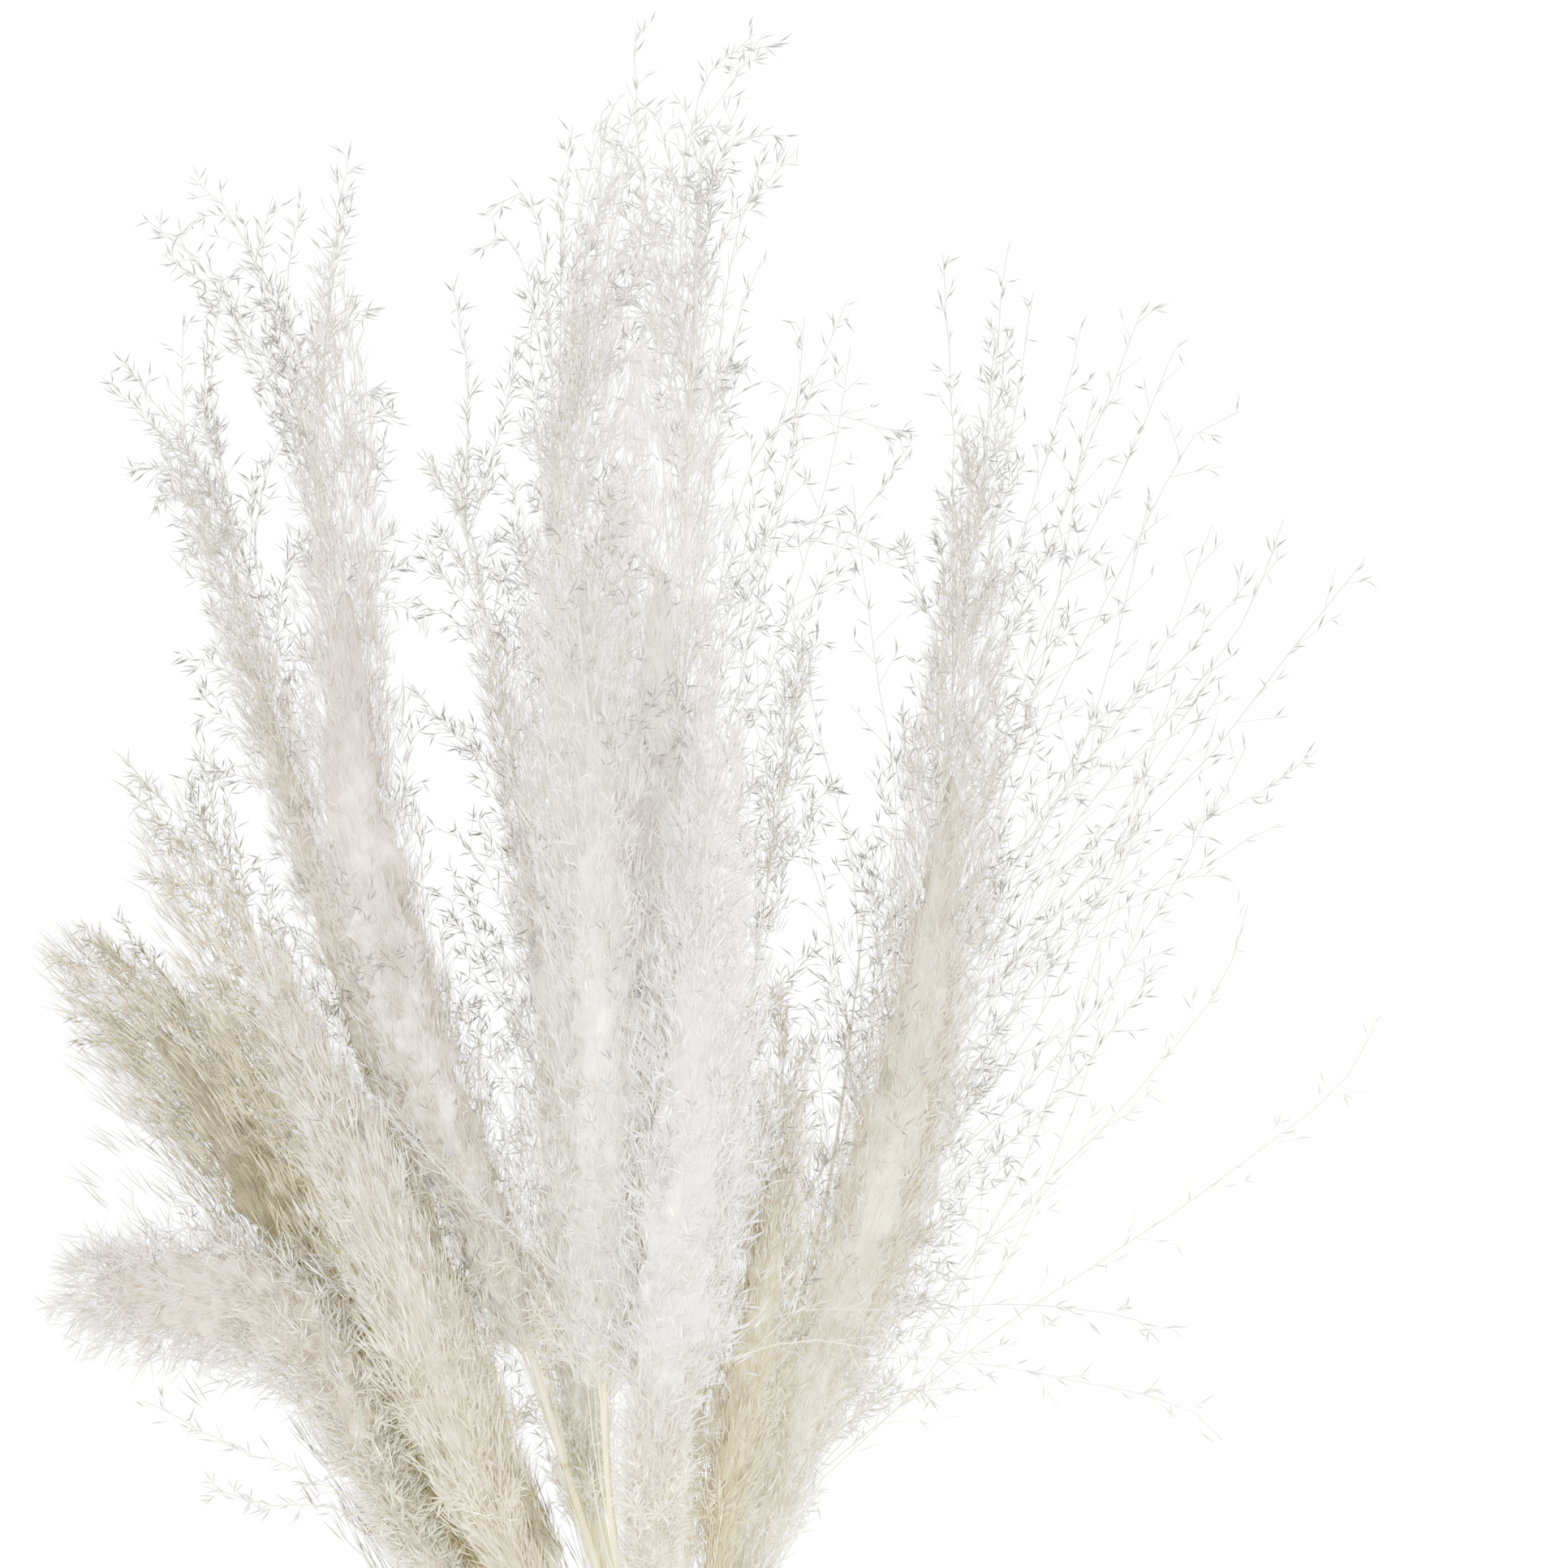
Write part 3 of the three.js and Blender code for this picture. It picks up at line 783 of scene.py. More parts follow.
@dataclass(frozen=True)
class HuskFinish:
    """Spikelets: dry pointed husks, greyer than the silk, paler to their points.

    Colours are times tones, or times silky where a spikelet looks like silk. The dark grey of those
    clear of the silk is partly painted shade of husks seen against the light. The branches' colour
    gives way to the husks' up the plume, as low plus fade times the place. points is how much
    of point's colour a spikelet's point has, and the darkest husks are rougher by duller.
    """

    shade: Shade
    tones: Span = (0.78, 1.08)
    silky: Span = (0.94, 1.03)
    low: float = 0.1
    fade: float = 3.0
    point: Rgb = (236, 231, 220)
    points: float = 0.14
    roughness: float = 0.4
    duller: float = 0.3
    shine: float = 0.5
    through: float = 0.2

    def material(self, name: str) -> bpy.types.Material:
        """Builds the material.

        Args:
            name: the material's name.

        Returns:
            Colour by each spikelet's own tone, paler low on the plume and silky inside it, and dark
            grey outside it, partly with painted shade.
        """
        graph = Graph(name)
        colours = self.shade.value
        tone = graph.value("tone")
        along = graph.value("along")
        rise = graph.value("rise")
        # The husks' dark grey is partly painted shade of husks seen against the light
        husk_and_shade = toned(graph, tone, colours.husk_and_shade, self.tones)
        low = toned(graph, tone, colours.stalk, self.tones)
        outer = graph.between((rise * self.fade + self.low).held(), low, husk_and_shade)
        silky = silk_tint(graph, self.shade, tone, self.silky)
        mixed = graph.between(graph.value("hidden"), outer, silky)
        paler = (along * along * self.points).held()
        pointed = graph.between(paler, mixed, colour(*self.point))
        graph.let_through(pointed, self.through)
        return graph.dress(Base_Color=pointed, Roughness=self.roughness + self.duller * (1 - tone),
                           Specular_IOR_Level=self.shine)


@dataclass(frozen=True)
class StalkFinish:
    """Thin branches: straw at the plume's foot and dull grey-cream further out.

    Straw gives way to dull by fade_up along the plume and fade_out along the branch, less late,
    and the lightest branches are rougher by duller.
    """

    shade: Shade
    straw: Rgb = (244, 228, 178)
    straw_tones: Span = (0.9, 1.08)
    dull_tones: Span = (0.6, 0.88)
    fade_up: float = 2.2
    fade_out: float = 0.5
    late: float = 0.1
    roughness: float = 0.42
    duller: float = 0.2
    shine: float = 0.5

    def material(self, name: str) -> bpy.types.Material:
        """Builds the material.

        Args:
            name: the material's name.

        Returns:
            Straw colour that fades with the place on the plume and along the branch.
        """
        graph = Graph(name)
        tone = graph.value("tone")
        up, out = graph.value("rise") * self.fade_up, graph.value("along") * self.fade_out
        fade = (up + out - self.late).held()
        straw = toned(graph, tone, self.straw, self.straw_tones)
        dull = toned(graph, tone, self.shade.value.stalk, self.dull_tones)
        return graph.dress(Base_Color=graph.between(fade, straw, dull),
                           Roughness=self.roughness + self.duller * tone,
                           Specular_IOR_Level=self.shine)


@dataclass(frozen=True)
class Pattern:
    """Noise of so many waves and octaves, which is drawn out as noise times slope minus drop."""

    waves: float
    octaves: float
    slope: float = 1.0
    drop: float = 0.0

    def read(self, graph: Graph, where: Signal) -> Signal:
        """The plain noise at a place."""
        return graph.noise(where, self.waves, self.octaves)

    def drawn_out(self, noise: Signal) -> Signal:
        """The noise times slope minus drop, kept between 0 and 1."""
        return (noise * self.slope - self.drop).held()


@dataclass(frozen=True)
class CulmFinish:
    """The round stem: dry straw with lengthwise ridges, darker joints and paler sheaths.

    streaks turn dry into straw, and patches have patch times dry. wrap is how much of its own
    colour a sheath has, and faded is the colour inside the plume, which comes as fade times the
    place. depth is the ridges' in millimetres, and the palest streaks are rougher by duller.
    """

    straw: Rgb = (238, 222, 168)
    dry: Rgb = (214, 192, 134)
    joint: Rgb = (158, 128, 80)
    sheath: Rgb = (233, 224, 190)
    faded: Rgb = (226, 218, 194)
    pith: Rgb = (240, 233, 212)
    streaks: Pattern = Pattern(3.2, 4.0, 1.7, 0.35)
    patches: Pattern = Pattern(30.0, 3.0, 1.6, 0.62)
    ridges: Pattern = Pattern(7.0, 2.0)
    patch: float = 0.93
    wrap: float = 0.75
    fade: float = 1.6
    depth: float = 0.25
    roughness: float = 0.36
    duller: float = 0.25
    shine: float = 0.5

    def material(self, name: str) -> bpy.types.Material:
        """Builds the material.

        Args:
            name: the material's name.

        Returns:
            Streaks run along the stem, being noise stretched lengthwise.
        """
        graph = Graph(name)
        grain = graph.vector("grain")
        streaks = self.streaks.read(graph, grain)
        patches = self.patches.read(graph, graph.place())
        layers = (
            (self.streaks.drawn_out(streaks), colour(*self.straw)),
            (self.patches.drawn_out(patches), shaded(self.dry, self.patch)),
            (graph.value("sheathed") * self.wrap, colour(*self.sheath)),
            (graph.value("jointed"), colour(*self.joint)),
            ((graph.value("rise") * self.fade).held(), colour(*self.faded)),
            (graph.value("cut"), colour(*self.pith)),
        )
        body = colour(*self.dry)
        for share, over in layers:
            body = graph.between(share, body, over)
        ridges = self.ridges.read(graph, grain)
        return graph.dress(Base_Color=body, Roughness=self.roughness + self.duller * streaks,
                           Specular_IOR_Level=self.shine,
                           Normal=graph.bump(ridges, self.depth * MM))


@dataclass(frozen=True)
class TwineFinish:
    """Plain twisted plant fibre: dull brown strands with paler fibres in them.

    The tone between deep and fair is the fibres' pattern and a share of crest, which is 1 on a
    strand and 0 in the groove beside it, so the grooves are darker with painted shade. The
    palest fibres are smoother by glossier, and depth is the fibres' in millimetres.
    """

    deep: Rgb = (138, 108, 70)
    fair: Rgb = (205, 178, 130)
    fibres: Pattern = Pattern(5.0, 5.0, 1.1, 0.4)
    crest: float = 0.5
    roughness: float = 0.95
    glossier: float = 0.15
    shine: float = 0.2
    depth: float = 0.2

    def material(self, name: str) -> bpy.types.Material:
        """Builds the material.

        Args:
            name: the material's name.

        Returns:
            Fibres run along the strands, and the grooves between strands are darker with painted
            shade.
        """
        graph = Graph(name)
        fibres = self.fibres.read(graph, graph.vector("grain"))
        # Lighter on a strand's crest and darker in the groove: painted shade
        lit = graph.value("crest") * self.crest
        tone = (fibres * self.fibres.slope + lit - self.fibres.drop).held()
        body = graph.between(tone, colour(*self.deep), colour(*self.fair))
        return graph.dress(Base_Color=body, Roughness=self.roughness - self.glossier * fibres,
                           Specular_IOR_Level=self.shine,
                           Normal=graph.bump(fibres, self.depth * MM))


# Reeds

# The plume's base is the fourth of a route's six points, so it is at this place on the route
PLUME_START = 0.6

# The tie's middle, how the stems pack inside it and spread at their cut ends, and how much room
# a cut end has under it
TIE_MIDDLE = (-10.0, -339.0, 13.7)
STEM_COLUMN_PITCH = 5.6
STEM_ROW_PITCH = 5.1
STEM_ROWS = 4
STRAIGHT_IN_TIE = 14.0
CUT_END_SPREAD_X = 1.7
CUT_END_SPREAD_Z = 1.25
CUT_END_DROP = 3.4
CUT_END_ROOM = 0.2

# Radii of a stem at its cut end, at the plume's base and at the plume's tip
STEM_RADIUS_CUT = 2.2
STEM_RADIUS_PLUME = 1.8
STEM_RADIUS_TIP = 0.35

# Where on a plume branches begin and end, how they thin out upwards, and how far under the
# silk's beginning the first of them stand
LOWEST_BRANCH = 0.0
HIGHEST_BRANCH = 0.94
BRANCHES_THIN_OUT = 1.5
BRANCHES_UNDER_SILK = 0.04

# Branches are this share of their reach at the base, all of it from the second place on, and
# lose the third share of it by the tip
REACH_AT_BASE = 0.38
REACH_FULL_FROM = 0.25
REACH_LOST_AT_TIP = 0.55

# The lowest place where silk begins, how far past silk_to it still grows and over how much of
# the plume it thins out, then where the dense column would end, over how much it narrows, and
# the least that counts as left of that
LOWEST_SILK = -0.12
SILK_GOES_ON = 0.24
SILK_THINS_OVER = 0.3
COLUMN_ENDS = 1.08
COLUMN_NARROWS_OVER = 0.4
COLUMN_LEAST = 0.05

# Where on a plume its silk's drift is full and the lean begins
DRIFT_FULL_FROM = 0.6


@dataclass
class Strands:
    """Many thin paths: points in metres, shape (n, steps, 3), and each one's place on its plume."""

    points: Array
    rise: Array

    def kept(self, mask: Array) -> "Strands":
        """Only the paths under the mask."""
        return Strands(self.points[mask], self.rise[mask])

    def fitting(self) -> "Strands":
        """Only the paths that don't reach too far."""
        return self.kept(inside(self.points))

    def at(self, which: Array, places: Array) -> tuple[Array, Array]:
        """Points and headings on chosen paths.

        Args:
            which: path numbers, shape (m,).
            places: from 0 at the root to 1 at the end, shape (m,).

        Returns:
            Points on the straight stretches between steps, and the unit headings there.
        """
        stretches = self.points.shape[1] - 1
        scaled = np.clip(places, 0.0, 1.0) * stretches
        left = np.minimum(scaled.astype(int), stretches - 1)
        start, end = self.points[which, left], self.points[which, left + 1]
        return start + (end - start) * (scaled - left)[:, None], unit(end - start)


def grow(roots: Array, headings: Array, rays: Array, lengths: Array, bends: Array,
         waver: Array) -> Array:
    """Paths that leave their roots step by step.

    The direction of a step is heading cos b + ray sin b + waver, made a unit vector, where b is
    that step's bend, and each step is an equal share of the length.

    Args:
        roots: where the paths start, shape (n, 3).
        headings: unit vectors that a bend of 0 follows.
        rays: unit vectors square to them that a bend leads to.
        lengths: in metres, shape (n,).
        bends: in radians, shape (n, steps).
        waver: what unsettles each step, shape (n, steps, 3).

    Returns:
        The paths, shape (n, steps + 1, 3), none of them under the surface.
    """
    steps = bends.shape[1]
    directions = unit(headings[:, None] * np.cos(bends)[..., None]
                      + rays[:, None] * np.sin(bends)[..., None] + waver)
    moves = np.cumsum(directions * (lengths / steps)[:, None, None], axis=1)
    points = np.concatenate([roots[:, None], roots[:, None] + moves], axis=1)
    points[..., 2] = np.maximum(points[..., 2], 2 * LOWEST)
    return points


@dataclass(frozen=True)
class Reed:
    """One reed: its route, and how its plume grows.

    place is the column in its row of the tie, the stems in that row and the row from below.
    base, middle and tip are where the plume runs, reach is its branches' length, and column is
    the half width of its dense silk. fullness and silk scale how many branches and tufts it
    has, open_share is the share of branches that stand well out, nod is how far branch tips
    bow outward, curl is how unruly the silk is and hair how long its hairs are. silk_from and
    silk_to are where the silk begins and where it stops being dense. drift is how far to the
    right of the stem it stands, and lean how much further it goes from there to the tip. foot
    and head are its width at base and tip as shares of column, it widens between the two places
    in swell, and packed is the share of its width that little light gets through. straws is how
    many bare straight branches stand round the foot.
    """

    name: str
    place: tuple[int, int, int]
    base: Point
    middle: Point
    tip: Point
    reach: float
    column: float
    shade: Shade
    fullness: float = 1.0
    silk: float = 1.0
    open_share: float = 0.3
    nod: float = 0.5
    curl: float = 0.3
    hair: float = 1.0
    silk_from: float = LOWEST_SILK
    silk_to: float = 0.76
    drift: float = 0.0
    lean: float = 0.0
    foot: float = 0.45
    head: float = 0.6
    swell: Span = (0.0, 0.32)
    packed: float = 0.55
    straws: int = 30


REEDS = (
    Reed("reed_left_low", (0, 3, 0), (-91, -144, 20), (-182, 160, 4.2), (-245, 377, 26),
         98, 12, Shade.CREAM, fullness=1.0, silk=1.0, open_share=0.5, nod=1.0, silk_to=0.7,
         drift=-12),
    Reed("reed_left_inner", (1, 3, 0), (-58, -120, 20), (-90, 185, 4), (-122, 350, 26),
         90, 8, Shade.CREAM, fullness=0.36, silk=0.4, open_share=0.5, nod=1.1, silk_from=0.34,
         silk_to=0.52, straws=0),
    Reed("reed_right_short", (2, 3, 0), (17, -174, 18), (61, -11, 4.2), (80, 134, 30),
         92, 17, Shade.BEIGE, fullness=0.5, silk=1.1, drift=38),
    Reed("reed_far_left_low", (0, 4, 1), (-110, -182, 42), (-194, 20, 48), (-284, 118, 40),
         100, 38, Shade.OLIVE_IN_SHADE, fullness=1.0, silk=1.6, open_share=0.35, curl=0.14, hair=1.5,
         silk_to=0.74, drift=-26, foot=0.8, head=0.5, packed=0.42),
    Reed("reed_centre_back", (1, 4, 1), (-51, -174, 46), (-74, 160, 60), (-56, 480, 70),
         120, 30, Shade.PALE, fullness=1.4, silk=1.6, nod=0.8, drift=15, silk_from=0.02,
         silk_to=0.72, foot=0.3, swell=(0.08, 0.24), straws=110),
    Reed("reed_right_slim", (2, 4, 1), (-4, -144, 48), (28, 111, 60), (46, 240, 76),
         84, 8, Shade.CREAM, fullness=0.5, silk=0.25, open_share=0.45, silk_to=0.35),
    Reed("reed_right", (3, 4, 1), (23, -185, 40), (100, 73, 46), (131, 356, 62),
         120, 25, Shade.CREAM, fullness=1.8, silk=1.7, open_share=0.55, silk_to=0.72, drift=4,
         packed=0.55),
    Reed("reed_far_left", (0, 4, 2), (-99, -174, 70), (-156, 8, 84), (-250, 195, 66),
         105, 28, Shade.MOSS_IN_SHADE, fullness=1.1, silk=1.5, open_share=0.45, curl=0.16, hair=1.4,
         silk_to=0.7, drift=-16, foot=0.6),
    Reed("reed_left", (1, 4, 2), (-72, -100, 76), (-137, 130, 96), (-194, 430, 92),
         108, 19, Shade.ASH, fullness=1.1, silk=1.7, nod=1.3, silk_from=0.06, silk_to=0.76,
         drift=-11, lean=34, head=0.9, packed=0.78),
    Reed("reed_centre", (2, 4, 2), (-23, -144, 78), (-11, 160, 106), (2, 490, 118),
         122, 32, Shade.PALE, fullness=1.2, silk=1.6, open_share=0.45, nod=1.0, silk_from=0.13,
         silk_to=0.7, drift=-10, foot=0.4, swell=(0.08, 0.22), straws=50),
    Reed("reed_low_right", (3, 4, 2), (8, -174, 72), (32, -33, 92), (42, 88, 100),
         80, 15, Shade.BEIGE, fullness=0.45, silk=0.9, silk_to=0.7),
    Reed("reed_drooping", (0, 4, 3), (-129, -163, 98), (-186, -56, 110), (-290, -46, 60),
         70, 22, Shade.GREY, fullness=0.5, silk=1.4, curl=0.9, hair=1.1, open_share=0.1,
         silk_to=0.98, drift=-2, foot=0.3, head=1.6, swell=(0.1, 0.5), straws=10,
         packed=0.7),
    Reed("reed_left_front", (1, 4, 3), (-89, -163, 102), (-137, -33, 124), (-201, 111, 112),
         90, 20, Shade.SAND, fullness=0.7, silk=1.6, open_share=0.3, curl=0.22, hair=1.3,
         silk_to=0.78, drift=1, straws=10),
    Reed("reed_centre_left", (2, 4, 3), (-40, -144, 106), (-40, 122, 148), (-61, 347, 152),
         112, 27, Shade.PALE, fullness=1.0, silk=1.5, silk_from=0.12, silk_to=0.72, foot=0.3,
         swell=(0.1, 0.24), straws=20),
    Reed("reed_centre_front", (3, 4, 3), (-20, -155, 112), (-4, 27, 152), (10, 225, 158),
         100, 29, Shade.WHITE, fullness=0.8, silk=2.2, curl=0.6, foot=0.35, swell=(0.17, 0.3),
         straws=70),
)

# Long single branches that stand out of the plumes: where along its plume each one starts
# (0 base, 1 tip), and then the points that it passes, the last one being its end.
LONG_BRANCHES = {
    "reed_right": (
        (0.3, (148, 103, 52), (236, 198, 60), (281, 255, 62), (317, 301, 56)),
        (0.27, (167, 106, 44), (232, 170, 46), (266, 185, 44), (298, 208, 36)),
        (0.36, (167, 158, 60), (224, 225, 70), (258, 271, 74), (277, 318, 70)),
        (0.45, (171, 236, 56), (205, 301, 66), (239, 362, 64), (258, 369, 58)),
        (0.52, (167, 271, 48), (205, 347, 50), (228, 402, 44)),
        (0.7, (146, 347, 70), (158, 424, 76)),
        (0.35, (94, 180, 50), (82, 262, 56), (73, 334, 60)),
        (0.2, (124, 52, 44), (162, 128, 48), (190, 210, 50)),
        (0.12, (103, -14, 38), (140, 58, 40), (172, 122, 40)),
        (0.32, (150, 60, 46), (196, 150, 50), (226, 236, 52)),
        (0.4, (150, 140, 56), (190, 230, 60), (214, 330, 60)),
        (0.8, (120, 384, 58), (116, 446, 56)),
        (0.05, (91, -83, 40), (129, -37, 44), (205, 39, 40), (255, 100, 30), (266, 134, 24)),
        (0.03, (86, -118, 34), (122, -79, 30), (163, -11, 26), (205, 103, 22), (220, 141, 16)),
    ),
    "reed_right_short": ((0.12, (68, -121, 20), (91, -106, 16), (122, -104, 8)),),
    "reed_centre_front": (
        (0.2, (38, -50, 132), (91, -49, 124), (160, -50, 108), (205, -58, 92), (217, -70, 84)),
        (0.24, (-55, -33, 150), (-99, 5, 150), (-144, 54, 142)),
    ),
    "reed_centre": (
        (0.83, (-2, 492, 128), (12, 524, 130), (40, 532, 122)),
        (0.8, (-4, 484, 122), (14, 510, 122), (30, 538, 116)),
        (0.78, (-26, 483, 128), (-28, 538, 126)),
        (0.6, (18, 445, 104), (32, 489, 100)),
        (0.52, (40, 360, 112), (103, 354, 104)),
        (0.5, (53, 377, 92), (70, 419, 86)),
        (0.42, (36, 252, 108), (60, 330, 104), (72, 396, 98)),
    ),
    "reed_centre_back": (
        (0.8, (-52, 462, 62), (-42, 516, 60)),
        (0.7, (-60, 440, 64), (-46, 508, 62)),
        (0.78, (-44, 468, 68), (-30, 518, 66)),
        (0.74, (-48, 450, 66), (-46, 512, 62)),
        (0.72, (-40, 446, 72), (-34, 494, 74)),
        (0.78, (-82, 470, 76), (-103, 462, 68)),
    ),
    "reed_left_inner": ((0.88, (-114, 395, 30), (-120, 434, 34)),),
    "reed_left": (
        (0.86, (-168, 453, 98), (-162, 489, 94)),
        (0.84, (-212, 449, 90), (-239, 478, 78)),
        (0.78, (-208, 436, 88), (-226, 462, 82), (-246, 452, 74)),
        (0.72, (-192, 420, 92), (-184, 464, 90)),
        (0.66, (-202, 392, 90), (-232, 436, 84)),
    ),
    "reed_left_low": (
        (0.86, (-260, 370, 22), (-282, 398, 18)),
        (0.8, (-238, 384, 26), (-232, 436, 28)),
        (0.72, (-246, 340, 26), (-252, 414, 26)),
    ),
    "reed_far_left": ((0.8, (-224, 190, 78), (-238, 217, 84)),),
    "reed_drooping": (
        (0.04, (-194, -127, 84), (-213, -124, 76), (-266, -102, 52)),
        (0.12, (-175, -105, 96), (-224, -81, 88), (-262, -76, 70)),
    ),
}

# How many more branches loosely follow each long one of a reed, where it isn't one
COMPANIONS = {"reed_right": 2, "reed_centre": 2, "reed_centre_back": 2, "reed_left": 2,
              "reed_left_low": 1}


@dataclass(frozen=True)
class Habit:
    """How one kind of branch grows its shoots and husks.

    thickness is the branch's radius in millimetres. shoots is how many it has, shoot_lengths
    their share of its length near its root and at its end, and shoot_leans the least and
    greatest angle between it and them. husks_on_shoot and husks_on_branch count the places
    with husks, and clothed_from is how far along the branch shoots and husks begin.
    """

    thickness: float
    shoots: int
    shoot_lengths: Span
    shoot_leans: Span
    husks_on_shoot: int
    husks_on_branch: int
    clothed_from: float


INNER = Habit(0.26, 3, (0.24, 0.12), (0.4, 0.8), 2, 12, 0.4)
OUTER = Habit(0.27, 8, (0.26, 0.12), (0.4, 0.9), 3, 10, 0.3)
LONG = Habit(0.32, 16, (0.11, 0.05), (0.45, 0.85), 2, 18, 0.16)


@dataclass
class Culm:
    """A reed's stem from its cut end to the plume's tip, as one closed tube.

    Lengths are millimetres, and a Span is the least and the greatest that is drawn. The first
    joint stands first_joint from the cut end and the others joint_gap further each, until
    joints_stop before the plume, and each is up to stray out of place. A dry leaf sheath wraps
    the stem above each one. Rings sheath_step apart make its edge sharp, and it reaches
    sheath_over past the first of them. cut_radii and cut_colour are shares for the three rings
    at the cut end, pith_depth is how far its pith is sunken, and the grain goes on by
    grain_rise a metre.
    """

    controls: Array
    draw: np.random.Generator
    samples: int = 600
    rings_bare: int = 46
    rings_in_plume: int = 34
    rings_apart: float = 0.2
    sides: int = 9
    first_joint: Span = (30.0, 70.0)
    joint_gap: float = 125.0
    stray: float = 12.0
    joints_stop: float = 20.0
    near_joint: tuple[float, ...] = (-4.0, -2.2, -1.0, 0.0, 1.0, 2.2, 4.0)
    joint_width: float = 2.0
    joint_swell: float = 0.16
    sheaths: Span = (35.0, 80.0)
    sheath_step: float = 0.4
    sheath_over: float = 0.1
    sheath_thick: float = 0.2
    pith_depth: float = 1.2
    cut_radii: Point = (0.6, 0.62, 1.0)
    cut_colour: Point = (1.0, 1.0, 0.3)
    grain_rise: float = 9.0
    grain_shift: float = 7.3

    def stations(self, bare: float, whole: float, joints: Array, ends: Array) -> Array:
        """Where the rings stand: evenly below and in the plume, and close at joints and sheaths.

        Args:
            bare: the length below the plume, in metres like all that follow.
            whole: the stem's length.
            joints: where the joints are.
            ends: where the sheaths end.

        Returns:
            Distances from the cut end, none of them nearer to the next than rings_apart.
        """
        near = MM * np.array(self.near_joint)
        found = np.concatenate([
            np.linspace(0, bare, self.rings_bare),
            np.linspace(bare, whole, self.rings_in_plume)[1:],
            (joints[:, None] + near).ravel(), ends, ends + self.sheath_step * MM])
        found = np.unique(np.clip(found, 0, whole))
        return found[np.concatenate([[True], np.diff(found) > self.rings_apart * MM])]

    def grown(self, order: int) -> Heap:
        """Builds the stem.

        Its radius tapers, swells as exp(-(d / joint_width)^2) at each joint, d being the
        distance to the joint, and steps out by sheath_thick where a sheath is. Three rings
        stand at the cut end: the sunken pith, the pith's edge and the straw's edge.

        Args:
            order: the reed's number, which sets its grain apart from other reeds'.

        Returns:
            The tube.
        """
        fine = np.linspace(0, 1, self.samples)
        lengths = distances(spline(self.controls, fine)[0])
        bare, whole = np.interp(PLUME_START, fine, lengths), lengths[-1]
        first = self.draw.uniform(*(MM * np.array(self.first_joint)))
        joints = np.arange(first, bare - self.joints_stop * MM, self.joint_gap * MM)
        stray = self.stray * MM
        joints = joints + self.draw.uniform(-stray, stray, len(joints))
        sheaths = self.draw.uniform(*(MM * np.array(self.sheaths)), len(joints))
        stations = self.stations(bare, whole, joints, joints + sheaths)
        centres, tangents = spline(self.controls, np.interp(stations, lengths, fine))
        taper = MM * np.interp(
            stations, [0, bare, whole], [STEM_RADIUS_CUT, STEM_RADIUS_PLUME, STEM_RADIUS_TIP])
        distance = stations[:, None] - joints
        jointed = np.exp(-(distance / (self.joint_width * MM)) ** 2).max(axis=1)
        reached = sheaths + self.sheath_over * MM
        wrapped = ((distance > 0) & (distance < reached)).any(axis=1).astype(float)
        radii = taper * (1 + self.joint_swell * jointed) + self.sheath_thick * MM * wrapped
        inward = MM * np.array([[self.pith_depth], [0.0], [0.0]])
        centres = np.vstack([centres[0] + tangents[0] * inward, centres[1:]])
        tangents = np.vstack([np.repeat(tangents[:1], 3, axis=0), tangents[1:]])
        radii = np.concatenate([taper[0] * np.array(self.cut_radii), radii[1:]])
        rise = np.clip((stations - bare) / (whole - bare), 0, 1)
        places, jointed, wrapped, rise = (
            np.concatenate([np.zeros(3), numbers[1:]])
            for numbers in (stations, jointed, wrapped, rise))
        cut = np.concatenate([self.cut_colour, np.zeros(len(radii) - 3)])
        vertices, faces = skin(centres[None], radii[None], self.sides, tangents=tangents[None])
        vertices[:, 2] = np.maximum(vertices[:, 2], 0.0)
        grain = round_grain(np.tile(ring_angles(self.sides), len(radii)),
                            np.repeat(places, self.sides) * self.grain_rise)
        heap = Heap()
        heap.add(vertices, faces, grain=grain + order * self.grain_shift, jointed=jointed,
                 sheathed=wrapped, cut=cut, rise=rise)
        return heap


